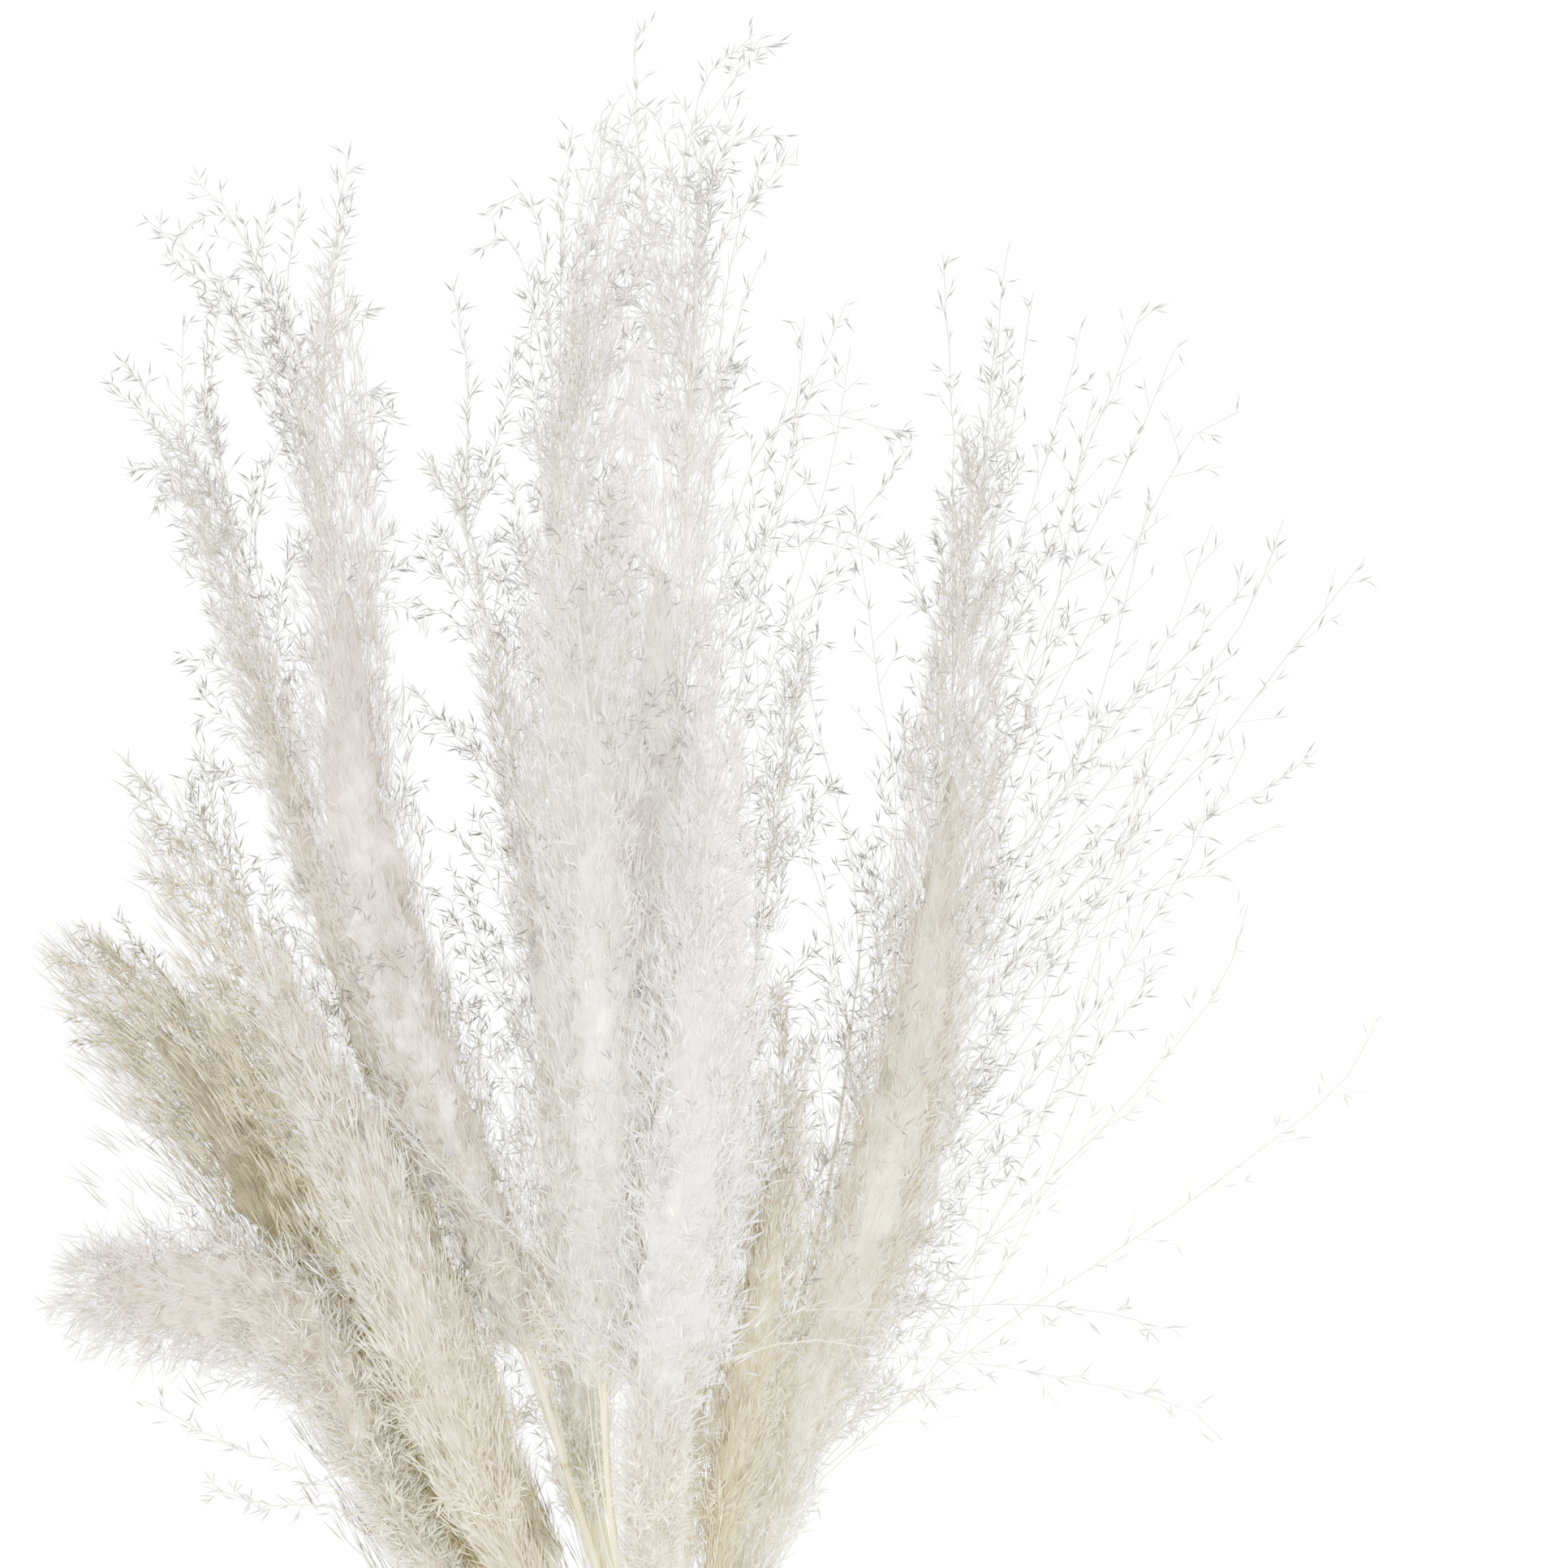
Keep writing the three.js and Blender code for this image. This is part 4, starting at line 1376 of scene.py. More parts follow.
@dataclass
class Plume:
    """Where one reed's plume is: its stem's route, its branches' reach and its dense silk.

    order is the reed's number, which seeds its draws, and line_points is how many points stand
    for the middle line of its silk. All that grows on the plume draws from it in turn.
    """

    reed: Reed
    order: int
    line_points: int = 80

    def __post_init__(self) -> None:
        """Works out the route and starts this reed's own seeded draws."""
        self.draw = np.random.default_rng(SEED + self.order)
        self.controls = self.route_controls()
        self.middle_line = self.column_middle(np.linspace(LOWEST_SILK, 1.0, self.line_points))

    def route_controls(self) -> Array:
        """The points that the stem passes: cut end, tie, plume base, middle and tip.

        Returns:
            Six points in metres.
        """
        column, in_row, row = self.reed.place
        x = TIE_MIDDLE[0] + (column - (in_row - 1) / 2) * STEM_COLUMN_PITCH
        z = TIE_MIDDLE[2] + (row - (STEM_ROWS - 1) / 2) * STEM_ROW_PITCH
        cut_x = TIE_MIDDLE[0] + (x - TIE_MIDDLE[0]) * CUT_END_SPREAD_X
        cut_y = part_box(self.reed.name)[0][1] / MM
        cut_z = TIE_MIDDLE[2] + (z - TIE_MIDDLE[2]) * CUT_END_SPREAD_Z - CUT_END_DROP
        return MM * np.array([
            (cut_x, cut_y, max(cut_z, STEM_RADIUS_CUT + CUT_END_ROOM)),
            (x, TIE_MIDDLE[1] - STRAIGHT_IN_TIE, z),
            (x, TIE_MIDDLE[1] + STRAIGHT_IN_TIE, z),
            self.reed.base,
            self.reed.middle,
            self.reed.tip,
        ])

    def on_plume(self, rise: Array) -> tuple[Array, Array]:
        """Points and tangents of the middle line at places from 0, its base, to 1, its tip."""
        return spline(self.controls, PLUME_START + (1 - PLUME_START) * rise)

    def reach_at(self, rise: Array) -> Array:
        """Branch length in metres: short at the base, full soon after, and shorter to the tip."""
        base = REACH_AT_BASE + (1 - REACH_AT_BASE) * np.clip(rise / REACH_FULL_FROM, 0, 1)
        return MM * self.reed.reach * base * (1 - REACH_LOST_AT_TIP * np.clip(rise, 0, 1))

    def from_middle(self, points: Array) -> Array:
        """How far each point is from the plume's middle line, in metres."""
        gaps = np.linalg.norm(points[:, None, :] - self.middle_line[None, :, :], axis=2)
        return gaps.min(axis=1)

    def column_at(self, rise: Array) -> Array:
        """Half width of the dense silk in metres.

        It goes from foot to full width between the places in swell and on to head, and narrows
        as the square root of what is left of COLUMN_NARROWS_OVER before COLUMN_ENDS.

        Args:
            rise: places on the plume.

        Returns:
            The half width at each.
        """
        swell = np.interp(rise, (*self.reed.swell, 1), (self.reed.foot, 1, self.reed.head))
        left = np.clip((COLUMN_ENDS - rise) / COLUMN_NARROWS_OVER, COLUMN_LEAST, 1)
        return MM * self.reed.column * swell * np.sqrt(left)

    def sideways(self, rise: Array) -> Array:
        """How the dense silk stands off the stem.

        It goes out to drift as the first quarter of a sine wave, until DRIFT_FULL_FROM, and from
        there by lean evenly to the tip.

        Args:
            rise: places on the plume.

        Returns:
            The way off the stem at each.
        """
        drifted = np.sin(math.pi / 2 * np.clip(rise / DRIFT_FULL_FROM, 0, 1))
        leant = np.clip((rise - DRIFT_FULL_FROM) / (1 - DRIFT_FULL_FROM), 0, 1)
        off = np.zeros((len(rise), 3))
        off[:, 0] = MM * self.reed.drift * drifted
        off[:, 0] += MM * self.reed.lean * leant
        return off

    def column_middle(self, rise: Array) -> Array:
        """The middle of the dense silk at places on the plume."""
        return self.on_plume(rise)[0] + self.sideways(rise)

    def some_turn(self, count: int) -> Array:
        """Turns drawn evenly from all round, in radians."""
        return self.draw.uniform(0, ANY_TURN, count)

    def both_sides(self, strands: Strands, reach: Span, each: int,
                   scatter: float) -> tuple[Array, Array, Array, Array, Array]:
        """Spots that follow one another along strands, on alternating sides.

        Args:
            strands: the paths that they are on.
            reach: between which places along a path they are.
            each: how many on one path.
            scatter: the standard deviation of their turns, in radians.

        Returns:
            Their paths' numbers, their places along them, roots, unit headings and turns.
        """
        paths = len(strands.points)
        which = np.repeat(np.arange(paths), each)
        order = np.tile(np.arange(each), paths)
        start, stop = reach
        places = start + (stop - start) * (order + self.draw.random(len(which))) / each
        turns = np.repeat(self.some_turn(paths), each) + math.pi * order
        turns = turns + self.draw.normal(0, scatter, len(which))
        return which, places, *strands.at(which, places), turns


@dataclass
class Growth:
    """Something that grows on a plume.

    Where a kind doesn't say otherwise, a Span is the least and the greatest value. A tone's is a
    mean and a standard deviation. scatter is the standard deviation of a turn, and waver that of
    each part of a unit direction. Leans and bends are radians, places and shares go from 0 to 1,
    and other sizes are millimetres.
    """

    plume: Plume


@dataclass
class Branches(Growth):
    """The branches that leave the stem all round.

    shares are their lengths as shares of the reach. inner_share of them end inside the dense
    column, at shares of its area in within. The reed's open_share of them end beyond it, by a
    share in beyond of the way to well_out of their length. The others make its fringe and end at
    shares of its width in fringe, and up to fringe_open more on an open reed. A branch bends
    from the stem by its lean times root_bend at its root and times bend_lost less at its end,
    mean_bend being the mean of both. A nod adds up to strongest_nod there.
    """

    branches: int = 120
    steps: int = 7
    shares: Span = (0.62, 1.08)
    scatter: float = 0.3
    waver: float = 0.055
    inner_share: float = 0.4
    within: Span = (0.02, 1.0)
    fringe: Span = (0.95, 1.2)
    fringe_open: float = 0.9
    beyond: Span = (0.3, 1.0)
    well_out: float = 0.62
    lean_sines: Span = (0.04, 0.8)
    root_bend: float = 1.1
    bend_lost: float = 0.55
    mean_bend: float = 0.825
    strongest_nod: float = 1.7

    def grown(self) -> tuple[Strands, Strands]:
        """Grows them.

        The golden angle turns each one on from the last. Some end inside the dense column, at
        distances drawn so that they fill it evenly, some make a fringe round it, and some
        stand well out. A branch that ends at the distance d leans by arcsin(d / length) over
        mean_bend, with d / length held within lean_sines, and straightens as it goes. A few bow
        outward at their ends.

        Returns:
            The branches in the column and those outside it, all between the allowed corners.
        """
        plume, draw, reed = self.plume, self.plume.draw, self.plume.reed
        count = round(self.branches * reed.fullness)
        spaced = (np.arange(count) + draw.random(count)) / count
        lowest = max(LOWEST_BRANCH, reed.silk_from - BRANCHES_UNDER_SILK)
        rise = lowest + (HIGHEST_BRANCH - lowest) * spaced ** BRANCHES_THIN_OUT
        roots, tangents = plume.on_plume(rise)
        turned_on = draw.uniform(0, ANY_TURN) + np.arange(count) * GOLDEN_ANGLE
        turns = turned_on + draw.normal(0, self.scatter, count)
        lengths = plume.reach_at(rise) * draw.uniform(*self.shares, count)
        column = plume.column_at(rise)
        within = column * np.sqrt(draw.uniform(*self.within, count))
        open_fringe = self.fringe_open * min(1.0, 2 * reed.open_share)
        fringe = column * draw.uniform(self.fringe[0], self.fringe[1] + open_fringe, count)
        beyond = column + (self.well_out * lengths - column) * draw.uniform(*self.beyond, count)
        lot = draw.random(count)
        inner = lot < self.inner_share
        ends = np.where(inner, within, np.where(lot > 1 - reed.open_share, beyond, fringe))
        ends = ray_at(tangents, turns) * ends[:, None] + plume.sideways(rise)
        ends -= tangents * np.sum(ends * tangents, axis=1, keepdims=True)
        far = np.linalg.norm(ends, axis=1)
        leans = np.arcsin(np.clip(far / lengths, *self.lean_sines)) / self.mean_bend
        s = np.linspace(0, 1, self.steps)
        nods = reed.nod * self.strongest_nod * draw.random(count) ** 3
        bends = leans[:, None] * (self.root_bend - self.bend_lost * s) + nods[:, None] * s ** 3
        waver = draw.normal(0, self.waver, (count, self.steps, 3))
        points = grow(roots, tangents, unit(ends), lengths, bends, waver)
        found = Strands(points, rise)
        fits = inside(points)
        return found.kept(fits & inner), found.kept(fits & ~inner)


@dataclass
class Straws(Growth):
    """Bare straight branches bundled round the stem at the plume's foot.

    starts and runs are where they start and how long they are on the plume. gaps are how far
    off the stem they end, and each gets there as its share of the way to the power of flare.
    """

    steps: int = 6
    starts: Span = (-0.2, 0.04)
    runs: Span = (0.16, 0.32)
    gaps: Span = (2.0, 14.0)
    flare: float = 0.7

    def grown(self) -> Strands:
        """Grows them.

        Returns:
            Paths of as many points as there are steps.
        """
        plume, count, steps = self.plume, self.plume.reed.straws, self.steps
        share = np.linspace(0, 1, steps)
        start = plume.draw.uniform(*self.starts, count)
        rise = start[:, None] + plume.draw.uniform(*self.runs, count)[:, None] * share
        middles, tangents = plume.on_plume(rise.ravel())
        away = plume.draw.uniform(*self.gaps, count)[:, None] * share ** self.flare
        turns = np.repeat(plume.some_turn(count), steps)
        points = middles + ray_at(tangents, turns) * MM * away.reshape(-1, 1)
        points[:, 2] = np.maximum(points[:, 2], LOWEST_LINE)
        return Strands(points.reshape(count, steps, 3), start).fitting()


@dataclass
class LongBranches(Growth):
    """The long single branches, and looser ones that follow them.

    aside is how far aside a follower's end is, as standard deviations in shares of the length,
    and shortened is how much shorter it is at most. wobble is the standard deviation of how far
    the last point of any of them strays, and others stray by the square root of their share.
    """

    steps: int = 15
    aside: Point = (0.12, 0.12, 0.04)
    shortened: float = 0.3
    wobble: float = 0.5

    def grown(self) -> Strands:
        """Grows them.

        A follower is the same curve, cut a little shorter, with every point moved by a drawn
        vector times its share of the way.

        Returns:
            The branches, their points being about evenly far apart.
        """
        plume, draw = self.plume, self.plume.draw
        paths, rises = [], []
        followers = COMPANIONS.get(plume.reed.name, 1)
        share = np.linspace(0, 1, self.steps)[:, None]
        for start, *through in LONG_BRANCHES.get(plume.reed.name, ()):
            root = plume.on_plume(np.array([start]))[0][0]
            own = evenly(np.vstack([root, MM * np.array(through)]), self.steps)
            loose = np.linalg.norm(own[-1] - own[0]) * np.array(self.aside)
            for follower in range(followers + 1):
                drift = draw.normal(0, 1, 3) * loose * (follower > 0)
                shorter = 1 - self.shortened * draw.random() * (follower > 0)
                path = own[0] + (own - own[0]) * shorter + drift * share
                path = path + draw.normal(0, self.wobble * MM, own.shape) * np.sqrt(share)
                path[:, 2] = np.maximum(path[:, 2], LOWEST_LONG_LINE)
                paths.append(path)
                rises.append(start)
        if not paths:
            return Strands(np.zeros((0, self.steps, 3)), np.zeros(0))
        return Strands(np.array(paths), np.array(rises)).fitting()


@dataclass
class Shoots(Growth):
    """Small straight shoots on alternating sides of branches, from where a habit says to stop.

    shares are what their length is, times the habit's share of the branch's.
    """

    stop: float = 0.98
    radius: float = 0.2
    shares: Span = (0.6, 1.25)
    scatter: float = 0.55
    waver: float = 0.08

    def grown(self, parents: Strands, habit: Habit) -> Strands:
        """Grows them.

        Args:
            parents: the branches that they grow on.
            habit: how those branches grow.

        Returns:
            The shoots.
        """
        if not len(parents.points):
            return Strands(np.zeros((0, 2, 3)), np.zeros(0))
        draw = self.plume.draw
        which, places, roots, headings, turns = self.plume.both_sides(
            parents, (habit.clothed_from, self.stop), habit.shoots, self.scatter)
        count = len(which)
        steps = np.linalg.norm(np.diff(parents.points, axis=1), axis=2)
        share = np.interp(places, (0, 1), habit.shoot_lengths)
        sizes = steps.sum(axis=1)[which] * share * draw.uniform(*self.shares, count)
        bends = draw.uniform(*habit.shoot_leans, count)[:, None]
        waver = draw.normal(0, self.waver, (count, 1, 3))
        points = grow(roots, headings, ray_at(headings, turns), sizes, bends, waver)
        return Strands(points, parents.rise[which]).fitting()


@dataclass
class Stalks(Growth):
    """The tubes of branches and shoots, whose radius shrinks evenly by taper."""

    sides: int = 3
    taper: float = 0.5
    tone: Span = (0.5, 0.22)

    def add(self, heap: Heap, strands: Strands, radius: float) -> None:
        """Adds tubes.

        Args:
            heap: where the tubes go.
            strands: their paths.
            radius: at the root, in millimetres.
        """
        count, rings = strands.points.shape[:2]
        if not count:
            return
        along = np.tile(np.linspace(0, 1, rings), (count, 1))
        radii = MM * radius * (1 - self.taper * along)
        vertices, faces = skin(strands.points, radii, self.sides)
        tone = np.clip(self.plume.draw.normal(*self.tone, count), 0, 1)
        heap.add(vertices, faces, tone=tone, rise=strands.rise, along=along.ravel())


@dataclass
class Husks(Growth):
    """Pointed husks on branches and shoots, two at a place and spread like a V.

    start is where on a shoot they begin. They lean by leans, spread is half the angle between
    two, and kept is the share of them that grows. The bunch lies pressed by its own weight, so
    the z of their headings is only lift of what it would be. bow is the standard deviation of
    how far they bow, in shares of their length. They look like silk, less and less over
    clothed_fade, up to clothed_out, both as shares of the column's width or of least_clothed
    where that is more. Up the plume that falls over silky_fade to silky_past, which it reaches
    silky_after past silk_to.
    """

    start: float = 0.35
    scatter: float = 0.5
    leans: Span = (0.25, 0.95)
    spread: Span = (0.2, 0.55)
    lift: float = 0.55
    lengths: Span = (6.0, 9.5)
    widths: Span = (0.7, 1.05)
    bow: float = 0.03
    tone: Span = (0.5, 0.24)
    kept: float = 0.52
    least_clothed: float = 14.0
    clothed_out: float = 1.4
    clothed_fade: float = 0.6
    silky_past: float = 0.35
    silky_after: float = 0.14
    silky_fade: float = 0.3

    def silkiness(self, roots: Array, rise: Array) -> tuple[Array, Array]:
        """How much husks look like silk.

        Args:
            roots: where the husks start.
            rise: their places on the plume.

        Returns:
            How near the middle line each is, from 0 to 1 at the line, and how silky.
        """
        plume = self.plume
        clothed = np.maximum(plume.column_at(rise), self.least_clothed * MM)
        share = plume.from_middle(roots) / clothed
        left = (plume.reed.silk_to + self.silky_after - rise) / self.silky_fade
        silky = self.silky_past + (1 - self.silky_past) * np.clip(left, 0, 1)
        near = np.clip((self.clothed_out - share) / self.clothed_fade, 0, 1)
        return np.clip(1 - share, 0, 1), silky * near

    def add(self, heap: Heap, strands: Strands, start: float, each: int) -> None:
        """Adds husks, leaving out those that would reach too far.

        Args:
            heap: where the husks go.
            strands: what they grow on.
            start: how far along it they begin.
            each: how many places on one.
        """
        plume, draw = self.plume, self.plume.draw
        which, _, roots, headings, turns = plume.both_sides(
            strands, (start, 1.0), each, self.scatter)
        leaned = leaning(headings, turns, draw.uniform(*self.leans, len(which)))
        if not len(which):
            return
        roots, headings, rise = (
            np.repeat(part, 2, axis=0) for part in (roots, leaned, strands.rise[which]))
        count = len(roots)
        spread = np.tile([-1.0, 1.0], count // 2) * draw.uniform(*self.spread, count)
        turns = np.repeat(plume.some_turn(count // 2), 2)
        pointing = unit(leaning(headings, turns, spread) * (1.0, 1.0, self.lift))
        lengths = MM * draw.uniform(*self.lengths, count)
        widths = MM * draw.uniform(*self.widths, count)
        tone = np.clip(draw.normal(*self.tone, count), 0, 1)
        keep = draw.random(count) < self.kept
        keep &= inside(roots + pointing * lengths[:, None])
        kept = keep.sum()
        # Husks near the middle line take its partly painted shade, and those clear of the silk keep
        # their dark grey, partly painted shade of husks seen against the light
        heart_and_shade, hidden = self.silkiness(roots[keep], rise[keep])
        vertices, faces = slivers(roots[keep], pointing[keep], plume.some_turn(kept),
                                  lengths[keep], widths[keep], draw.normal(0, self.bow, kept))
        heap.add(vertices, faces, tone=tone[keep], along=np.tile([0, 1, WIDEST, WIDEST], kept),
                 rise=rise[keep], heart_and_shade=heart_and_shade, hidden=hidden)


@dataclass
class Silk(Growth):
    """Tufts of fine hairs all over the dense column, outside its packed middle.

    Tufts stand at shares of the column's area in places, and further out by stray times an
    exponential draw. A tuft's greatest lean grows by curl times the reed's curl. hair_lean is
    the standard deviation of its hairs' leans from it, and grows by hair_curl times the reed's.
    lift flattens the hairs, as the bunch's weight presses them, and gap is the standard
    deviation of how far they stand off their tuft's middle on each axis.
    """

    tufts: int = 1600
    hairs: int = 4
    places: Span = (0.1, 0.85)
    stray: float = 0.25
    scatter: float = 0.5
    leans: Span = (0.03, 0.15)
    curl: float = 1.4
    tone: Span = (0.5, 0.18)
    hair_lean: float = 0.1
    hair_curl: float = 0.6
    hair_tone: float = 0.12
    lift: float = 0.7
    gap: float = 1.6
    lengths: Span = (9.0, 15.0)
    widths: Span = (0.45, 0.8)

    def spots(self, wanted: int) -> tuple[Array, Array, Array, Array]:
        """Where tufts stand.

        Args:
            wanted: how many places to draw; fewer stay towards the plume's tip.

        Returns:
            Points, unit headings that lean outward, places on the plume, and how near the
            middle each one is.
        """
        plume, draw, reed = self.plume, self.plume.draw, self.plume.reed
        rise = draw.uniform(reed.silk_from, 1.0, wanted)
        staying = np.clip((reed.silk_to + SILK_GOES_ON - rise) / SILK_THINS_OVER, 0, 1)
        rise = rise[draw.random(wanted) < staying]
        count = len(rise)
        tangents = plume.on_plume(rise)[1]
        turns = plume.some_turn(count)
        share = np.sqrt(draw.uniform(*self.places, count))
        share = share * (1 + self.stray * draw.exponential(1, count))
        away = ray_at(tangents, turns) * (plume.column_at(rise) * share)[:, None]
        least, most = self.leans
        leans = draw.uniform(least, most + self.curl * reed.curl, count)
        aims = leaning(tangents, turns + draw.normal(0, self.scatter, count), leans)
        return plume.column_middle(rise) + away, aims, rise, np.maximum(1 - share, 0)

    def add(self, heap: Heap) -> None:
        """Adds the tufts, leaving out hairs that would reach too far.

        Args:
            heap: where they go.
        """
        plume, draw, reed = self.plume, self.plume.draw, self.plume.reed
        roots, aims, rise, heart_and_shade = self.spots(round(self.tufts * reed.silk))
        tuft_tone = draw.normal(*self.tone, len(roots))
        roots, aims, rise, heart_and_shade, tuft_tone = (
            np.repeat(part, self.hairs, axis=0) for part in (roots, aims, rise, heart_and_shade, tuft_tone))
        count = len(roots)
        spread = np.abs(draw.normal(0, self.hair_lean + self.hair_curl * reed.curl, count))
        aims = unit(leaning(aims, plume.some_turn(count), spread) * (1.0, 1.0, self.lift))
        roots = roots + draw.normal(0, self.gap * MM, (count, 3))
        lengths = MM * reed.hair * draw.uniform(*self.lengths, count)
        widths = MM * draw.uniform(*self.widths, count)
        tone = np.clip(tuft_tone + draw.normal(0, self.hair_tone, count), 0, 1)
        keep = inside(roots + aims * lengths[:, None])
        vertices, faces = slivers(
            roots[keep], aims[keep], plume.some_turn(keep.sum()), lengths[keep], widths[keep])
        # A tuft nearer the middle line takes more of that line's colour, partly painted shade
        heap.add(vertices, faces, tone=tone[keep], rise=rise[keep], heart_and_shade=heart_and_shade[keep])


@dataclass
class Down(Growth):
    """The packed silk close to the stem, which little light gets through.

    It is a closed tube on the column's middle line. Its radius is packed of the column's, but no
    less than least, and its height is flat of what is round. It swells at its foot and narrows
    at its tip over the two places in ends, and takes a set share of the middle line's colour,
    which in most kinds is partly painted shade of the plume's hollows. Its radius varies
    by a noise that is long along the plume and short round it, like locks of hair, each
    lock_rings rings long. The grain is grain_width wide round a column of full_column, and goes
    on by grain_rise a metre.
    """

    rings: int = 130
    sides: int = 16
    ends: Span = (0.07, 0.35)
    least: float = 0.4
    flat: float = 0.85
    heart_and_shade: float = 0.4
    lock_rings: int = 5
    lock_depth: float = 0.2
    lock_tone: float = 0.14
    full_column: float = 20.0
    grain_width: float = 2.2
    grain_rise: float = 16.0
    grain_shift: float = 5.1

    def grown(self) -> Heap:
        """Builds the tube.

        Returns:
            Its surface.
        """
        plume, reed = self.plume, self.plume.reed
        rings, sides, lasting = self.rings, self.sides, self.lock_rings
        rise = np.linspace(reed.silk_from, reed.silk_to, rings)
        middles = plume.column_middle(rise)
        swelling = (rise - reed.silk_from) / self.ends[0]
        narrowing = (reed.silk_to - rise) / self.ends[1]
        to_ends = np.clip(np.minimum(swelling, narrowing), 0, 1)
        shape = np.sqrt(to_ends * (2 - to_ends))
        locks = plume.draw.normal(0, 1, (rings + lasting - 1, sides))
        locks = sum(locks[i:i + rings] for i in range(lasting)) / math.sqrt(lasting)
        radii = plume.column_at(rise)[:, None] * reed.packed * (1 + self.lock_depth * locks)
        radii = np.maximum(radii * shape[:, None], self.least * MM)
        vertices, faces = skin(middles[None], radii[None], sides)
        heights = np.repeat(middles[:, 2], sides)
        vertices[:, 2] = np.maximum(heights + (vertices[:, 2] - heights) * self.flat, LOWEST)
        grain = round_grain(np.tile(ring_angles(sides), rings),
                            np.repeat(distances(middles), sides) * self.grain_rise,
                            self.grain_width * reed.column / self.full_column)
        heap = Heap()
        heap.add(vertices, faces, grain=grain + plume.order * self.grain_shift,
                 tone=np.clip(0.5 + self.lock_tone * locks.ravel(), 0, 1),
                 rise=rise, heart_and_shade=np.array([self.heart_and_shade]))
        return heap


def build_reed(reed: Reed, order: int) -> int:
    """Builds and dresses a reed's pieces, hangs them on the body and hides the reed's node.

    Args:
        reed: what to build.
        order: its number.

    Returns:
        How many triangles it has.
    """
    plume = Plume(reed, order)
    shoots, stalks, husks = Shoots(plume), Stalks(plume), Husks(plume)
    inner, outer = Branches(plume).grown()
    longs = LongBranches(plume).grown()
    branches, spikelets, silk = Heap(), Heap(), Heap()
    for parents, habit in ((inner, INNER), (outer, OUTER), (longs, LONG)):
        small = shoots.grown(parents, habit)
        stalks.add(branches, parents, habit.thickness)
        stalks.add(branches, small, shoots.radius)
        husks.add(spikelets, small, husks.start, habit.husks_on_shoot)
        husks.add(spikelets, parents, habit.clothed_from, habit.husks_on_branch)
    stalks.add(branches, Straws(plume).grown(), INNER.thickness)
    Silk(plume).add(silk)
    stem = Culm(plume.controls, plume.draw).grown(order)
    down = Down(plume).grown()
    shade = reed.shade
    slot = "plume_pale" if shade in PALE_SHADES else "plume_beige"
    pieces = (
        ("stem", stem, CulmFinish(), True, "stem_straw"),
        ("branches", branches, StalkFinish(shade), True, "stem_straw"),
        ("spikelets", spikelets, HuskFinish(shade), False, slot),
        ("silk", silk, SilkFinish(shade), True, slot),
        ("down", down, DownFinish(shade), True, slot),
    )
    return sum(declare(heap, f"{reed.name}_{part}", finish.material, smooth, reed.name)
               for part, heap, finish, smooth, own_slot in pieces)


# The tie

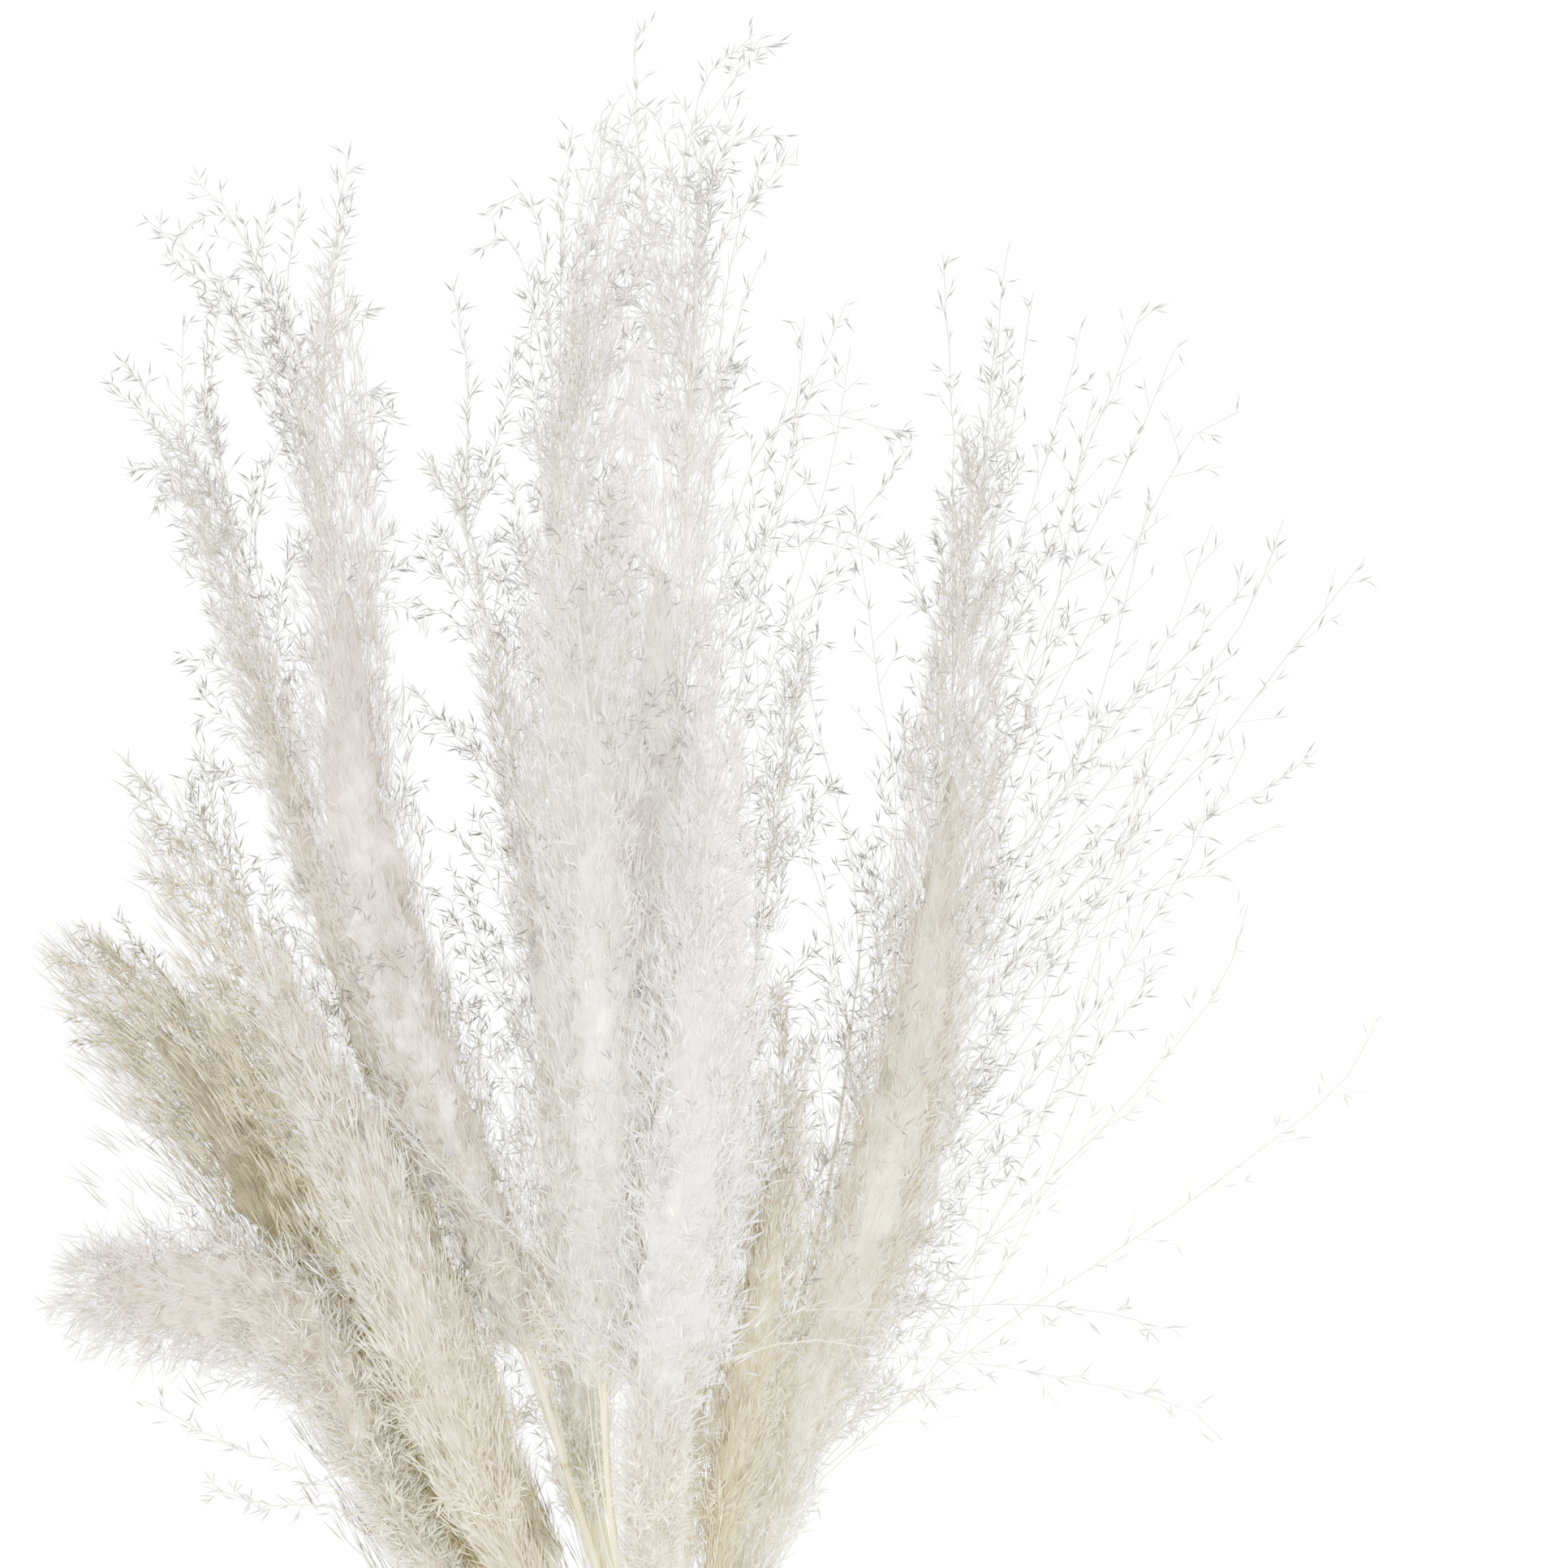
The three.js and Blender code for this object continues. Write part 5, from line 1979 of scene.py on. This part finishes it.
@dataclass(frozen=True)
class TwineTie:
    """Turns of three-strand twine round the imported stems, a knot and two frayed ends.

    Lengths are millimetres, and ends are from the tie's middle. half_width and half_height are
    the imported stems', twist_pitch is the length of a strand's full turn, groove is how deep the
    grooves between strands are as a share of the radius, and the grain goes on by grain_rise a
    millimetre. Frayed fibres start frayed_back from an end, and stray ones stand stray_out
    diameters off the stems. A Span is the least and the greatest that is drawn, and a spread
    is a standard deviation.
    """

    half_width: float = 12.2
    half_height: float = 11.5
    turns: int = 5
    turn_points: int = 560
    diameter: float = 2.3
    twist_pitch: float = 5.2
    strands: int = 3
    groove: float = 0.16
    sides: int = 12
    grain_rise: float = 0.12
    knot_points: int = 84
    knot_scale: float = 1.12
    knot_shift: float = 2.0
    knot_height: float = 1.3
    knot_lift: float = 0.4
    ends: tuple = (
        ((3, 0, 0), (9, 5, 1), (15, 13, -4), (18, 22, -11)),
        ((1, -1, 0), (-6, -6, 1.5), (-12, -15, -2), (-20, -24, -9)),
    )
    end_points: int = 50
    frayed: int = 46
    frayed_back: float = 1.2
    frayed_spread: float = 0.4
    lean_spread: float = 0.3
    frayed_lengths: Span = (4.0, 8.0)
    stray: int = 500
    stray_out: float = 0.9
    stray_leans: Span = (0.1, 0.7)
    stray_lengths: Span = (2.0, 4.5)
    fibre_width: float = 0.16
    fibre_crest: Span = (0.5, 1.0)
    fibre_grain: float = 9.0

    def outline(self, angles: Array) -> Array:
        """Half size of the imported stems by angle: a rounded box, (|x/w|^4 + |z/h|^4)^(-1/4).

        Args:
            angles: in radians from the X axis.

        Returns:
            The distance from the middle at each.
        """
        x = np.cos(angles) / self.half_width
        z = np.sin(angles) / self.half_height
        return (x ** 4 + z ** 4) ** -0.25

    def cord(self, heap: Heap, path: Array, side: Optional[Array]) -> None:
        """Adds a twisted cord along a path.

        Its radius is r (1 - groove + groove |cos(strands / 2 (a - t))|), where a goes round the
        cord and t grows by a full turn each twist_pitch, so that the strands wind round one
        another.

        Args:
            heap: where the cord goes.
            path: points in millimetres, shape (n, 3), relative to the tie's middle.
            side: vectors that the rings start from, or None.
        """
        lengths = distances(path)
        phase = ring_angles(self.sides) - FULL_TURN * lengths[:, None] / self.twist_pitch
        crest = np.abs(np.cos(self.strands / 2 * phase))
        radii = MM * self.diameter / 2 * (1 - self.groove + self.groove * crest)
        centres = MM * (path + np.array(TIE_MIDDLE))
        vertices, faces = skin(centres[None], radii[None], self.sides,
                               side=None if side is None else side[None])
        grain = round_grain(phase.ravel(), np.repeat(lengths, self.sides) * self.grain_rise)
        heap.add(vertices, faces, grain=grain, crest=crest.ravel())

    def winding(self, heap: Heap) -> None:
        """Adds the turns as one helix that follows the outline.

        Args:
            heap: where they go.
        """
        angles = np.linspace(0, FULL_TURN * self.turns, self.turn_points) + math.pi / 2
        radius = self.outline(angles) + self.diameter / 2
        slide = (angles - angles[0]) / FULL_TURN * self.diameter
        y = slide - self.turns * self.diameter / 2
        side = np.column_stack([np.cos(angles), np.zeros_like(angles), np.sin(angles)])
        path = np.column_stack([radius * np.cos(angles), y, radius * np.sin(angles)])
        self.cord(heap, path, side)

    def knot(self, heap: Heap) -> None:
        """Adds the knot, a trefoil: (sin t + 2 sin 2t, cos t - 2 cos 2t, -knot_height sin 3t).

        Args:
            heap: where it goes.
        """
        t = np.linspace(0, FULL_TURN, self.knot_points)
        loops = np.column_stack([
            np.sin(t) + 2 * np.sin(2 * t), np.cos(t) - 2 * np.cos(2 * t),
            -self.knot_height * np.sin(3 * t)])
        top = self.half_height + self.diameter
        path = loops * self.knot_scale + (self.knot_shift, 0.0, top + self.knot_lift)
        self.cord(heap, path, np.tile((0.0, 0.0, 1.0), (len(t), 1)))

    def loose_ends(self, heap: Heap) -> None:
        """Adds the two ends of the twine, each with its strands frayed apart.

        Args:
            heap: where they go.
        """
        top = self.half_height + self.diameter
        count = self.frayed
        for controls in self.ends:
            path = evenly(np.array(controls, float) + (0, 0, top), self.end_points)
            self.cord(heap, path, None)
            heading = unit(path[-1] - path[-3])
            draw = np.random.default_rng(SEED + len(heap.vertices))
            roots = MM * (path[-1] + np.array(TIE_MIDDLE) - heading * self.frayed_back)
            roots = roots + draw.normal(0, self.frayed_spread * MM, (count, 3))
            aims = leaning(np.tile(heading, (count, 1)), draw.uniform(0, ANY_TURN, count),
                           np.abs(draw.normal(0, self.lean_spread, count)))
            self.fibres(heap, roots, aims, draw.uniform(*self.frayed_lengths, count), draw)

    def fuzz(self, heap: Heap) -> None:
        """Adds short stray fibres that stand off the turns.

        Args:
            heap: where they go.
        """
        draw = np.random.default_rng(SEED)
        count = self.stray
        angles = draw.uniform(0, FULL_TURN, count)
        radius = self.outline(angles) + self.diameter * self.stray_out
        y = draw.uniform(-0.5, 0.5, count) * self.turns * self.diameter
        roots = np.column_stack([radius * np.cos(angles), y, radius * np.sin(angles)])
        round_it = np.column_stack([-np.sin(angles), np.zeros(count), np.cos(angles)])
        turns = draw.uniform(0, ANY_TURN, count)
        aims = leaning(round_it, turns, draw.uniform(*self.stray_leans, count))
        lengths = draw.uniform(*self.stray_lengths, count)
        self.fibres(heap, MM * (roots + np.array(TIE_MIDDLE)), aims, lengths, draw)

    def fibres(self, heap: Heap, roots: Array, aims: Array, lengths: Array,
               draw: np.random.Generator) -> None:
        """Adds thin fibres.

        Args:
            heap: where they go.
            roots: where they start, in metres.
            aims: unit vectors that they point along.
            lengths: in millimetres.
            draw: the seeded draws.
        """
        count = len(roots)
        widths = np.full(count, self.fibre_width * MM)
        vertices, faces = slivers(
            roots, aims, draw.uniform(0, ANY_TURN, count), MM * lengths, widths)
        grain = draw.uniform(0, self.fibre_grain, (count, 3))
        heap.add(vertices, faces, grain=grain, crest=draw.uniform(*self.fibre_crest, count))

    def build(self) -> int:
        """Returns:
            How many triangles it has.
        """
        turns, knot = Heap(), Heap()
        self.winding(turns)
        self.fuzz(turns)
        self.knot(knot)
        self.loose_ends(knot)
        return sum(declare(heap, name, TwineFinish().material, True, "twine_tie")
                   for name, heap in (("twine_turns", turns), ("twine_knot", knot)))


# The studio

@dataclass(frozen=True)
class SoftBox:
    """A square lamp: its name, where it hangs, how wide it is in metres, and its watts."""

    name: str
    place: Point
    width: float
    power: float


@dataclass(frozen=True)
class Studio:
    """A floor that glows white like a light table, a soft sky and a camera that looks down.

    Lengths are metres, apart from the lens and its sensor in millimetres. haze lists points of
    the picture's tone curve, which lifts and evens out all but the lightest tones, as a
    photograph of pale things against a white light does.
    """

    view_width: float = 0.734
    view_middle: tuple[float, float] = (0.0403, 0.1923)
    focus_height: float = 0.09
    lens: float = 85.0
    sensor: float = 36.0
    clip: Span = (0.05, 30.0)
    sky: float = 1.8
    soft_boxes: tuple[SoftBox, ...] = (
        SoftBox("key", (-1.1, 1.0, 1.7), 0.9, 1.6),
        SoftBox("fill", (1.3, -0.6, 1.5), 1.2, 0.6),
    )
    lit: Point = (0.0, 0.1, 0.05)
    floor_half: float = 4.0
    floor_glow: float = 1.04
    haze: tuple[Span, ...] = ((0.2, 0.57), (0.5, 0.77), (0.8, 0.87), (0.93, 0.93))

    def floor(self) -> None:
        """Lays the floor."""
        half = self.floor_half
        mesh = bpy.data.meshes.new("floor")
        corners = [(-half, -half, 0), (half, -half, 0), (half, half, 0), (-half, half, 0)]
        mesh.from_pydata(corners, [], [(0, 1, 2, 3)])
        mesh.materials.append(Graph("floor").dress(
            Base_Color=(0.0, 0.0, 0.0, 1.0), Roughness=1.0, Specular_IOR_Level=0.0,
            Emission_Color=(1.0, 1.0, 1.0, 1.0), Emission_Strength=self.floor_glow))
        plane = bpy.data.objects.new("floor", mesh)
        bpy.context.scene.collection.objects.link(plane)

    def light(self) -> None:
        """Sets the sky and two soft boxes."""
        world = bpy.data.worlds.new("studio")
        world.use_nodes = True
        background = world.node_tree.nodes["Background"]
        background.inputs["Color"].default_value = (1.0, 1.0, 1.0, 1.0)
        background.inputs["Strength"].default_value = self.sky
        bpy.context.scene.world = world
        for box in self.soft_boxes:
            lamp = bpy.data.lights.new(box.name, "AREA")
            lamp.size = box.width
            lamp.energy = box.power
            holder = bpy.data.objects.new(box.name, lamp)
            holder.location = box.place
            aim = Vector(self.lit) - Vector(box.place)
            holder.rotation_euler = aim.to_track_quat("-Z", "Y").to_euler()
            bpy.context.scene.collection.objects.link(holder)

    def camera(self) -> None:
        """Hangs the camera over the plumes, looking straight down with +Y up the picture."""
        data = bpy.data.cameras.new("camera")
        data.lens = self.lens
        data.sensor_width = self.sensor
        data.clip_start, data.clip_end = self.clip
        holder = bpy.data.objects.new("camera", data)
        distance = self.view_width * self.lens / self.sensor
        holder.location = (*self.view_middle, self.focus_height + distance)
        bpy.context.scene.collection.objects.link(holder)
        bpy.context.scene.camera = holder

    def tones(self) -> None:
        """Sets how light turns into the picture's tones, for red, green and blue alike."""
        view = bpy.context.scene.view_settings
        view.view_transform = "Standard"
        view.use_curve_mapping = True
        *_, all_channels = view.curve_mapping.curves
        for light, shown in self.haze:
            all_channels.points.new(light, shown).handle_type = "AUTO_CLAMPED"
        view.curve_mapping.update()

    def build(self) -> None:
        """Sets up floor, light, camera and tones."""
        self.floor()
        self.light()
        self.camera()
        self.tones()


def main() -> None:
    """Builds the bunch and the studio."""
    logging.basicConfig(level=logging.INFO, format="%(name)s: %(message)s")
    total = sum(build_reed(reed, order) for order, reed in enumerate(REEDS))
    total += TwineTie().build()
    Studio().build()
    LOG.info("all: %d triangles", total)


if __name__ == "__main__":
    main()
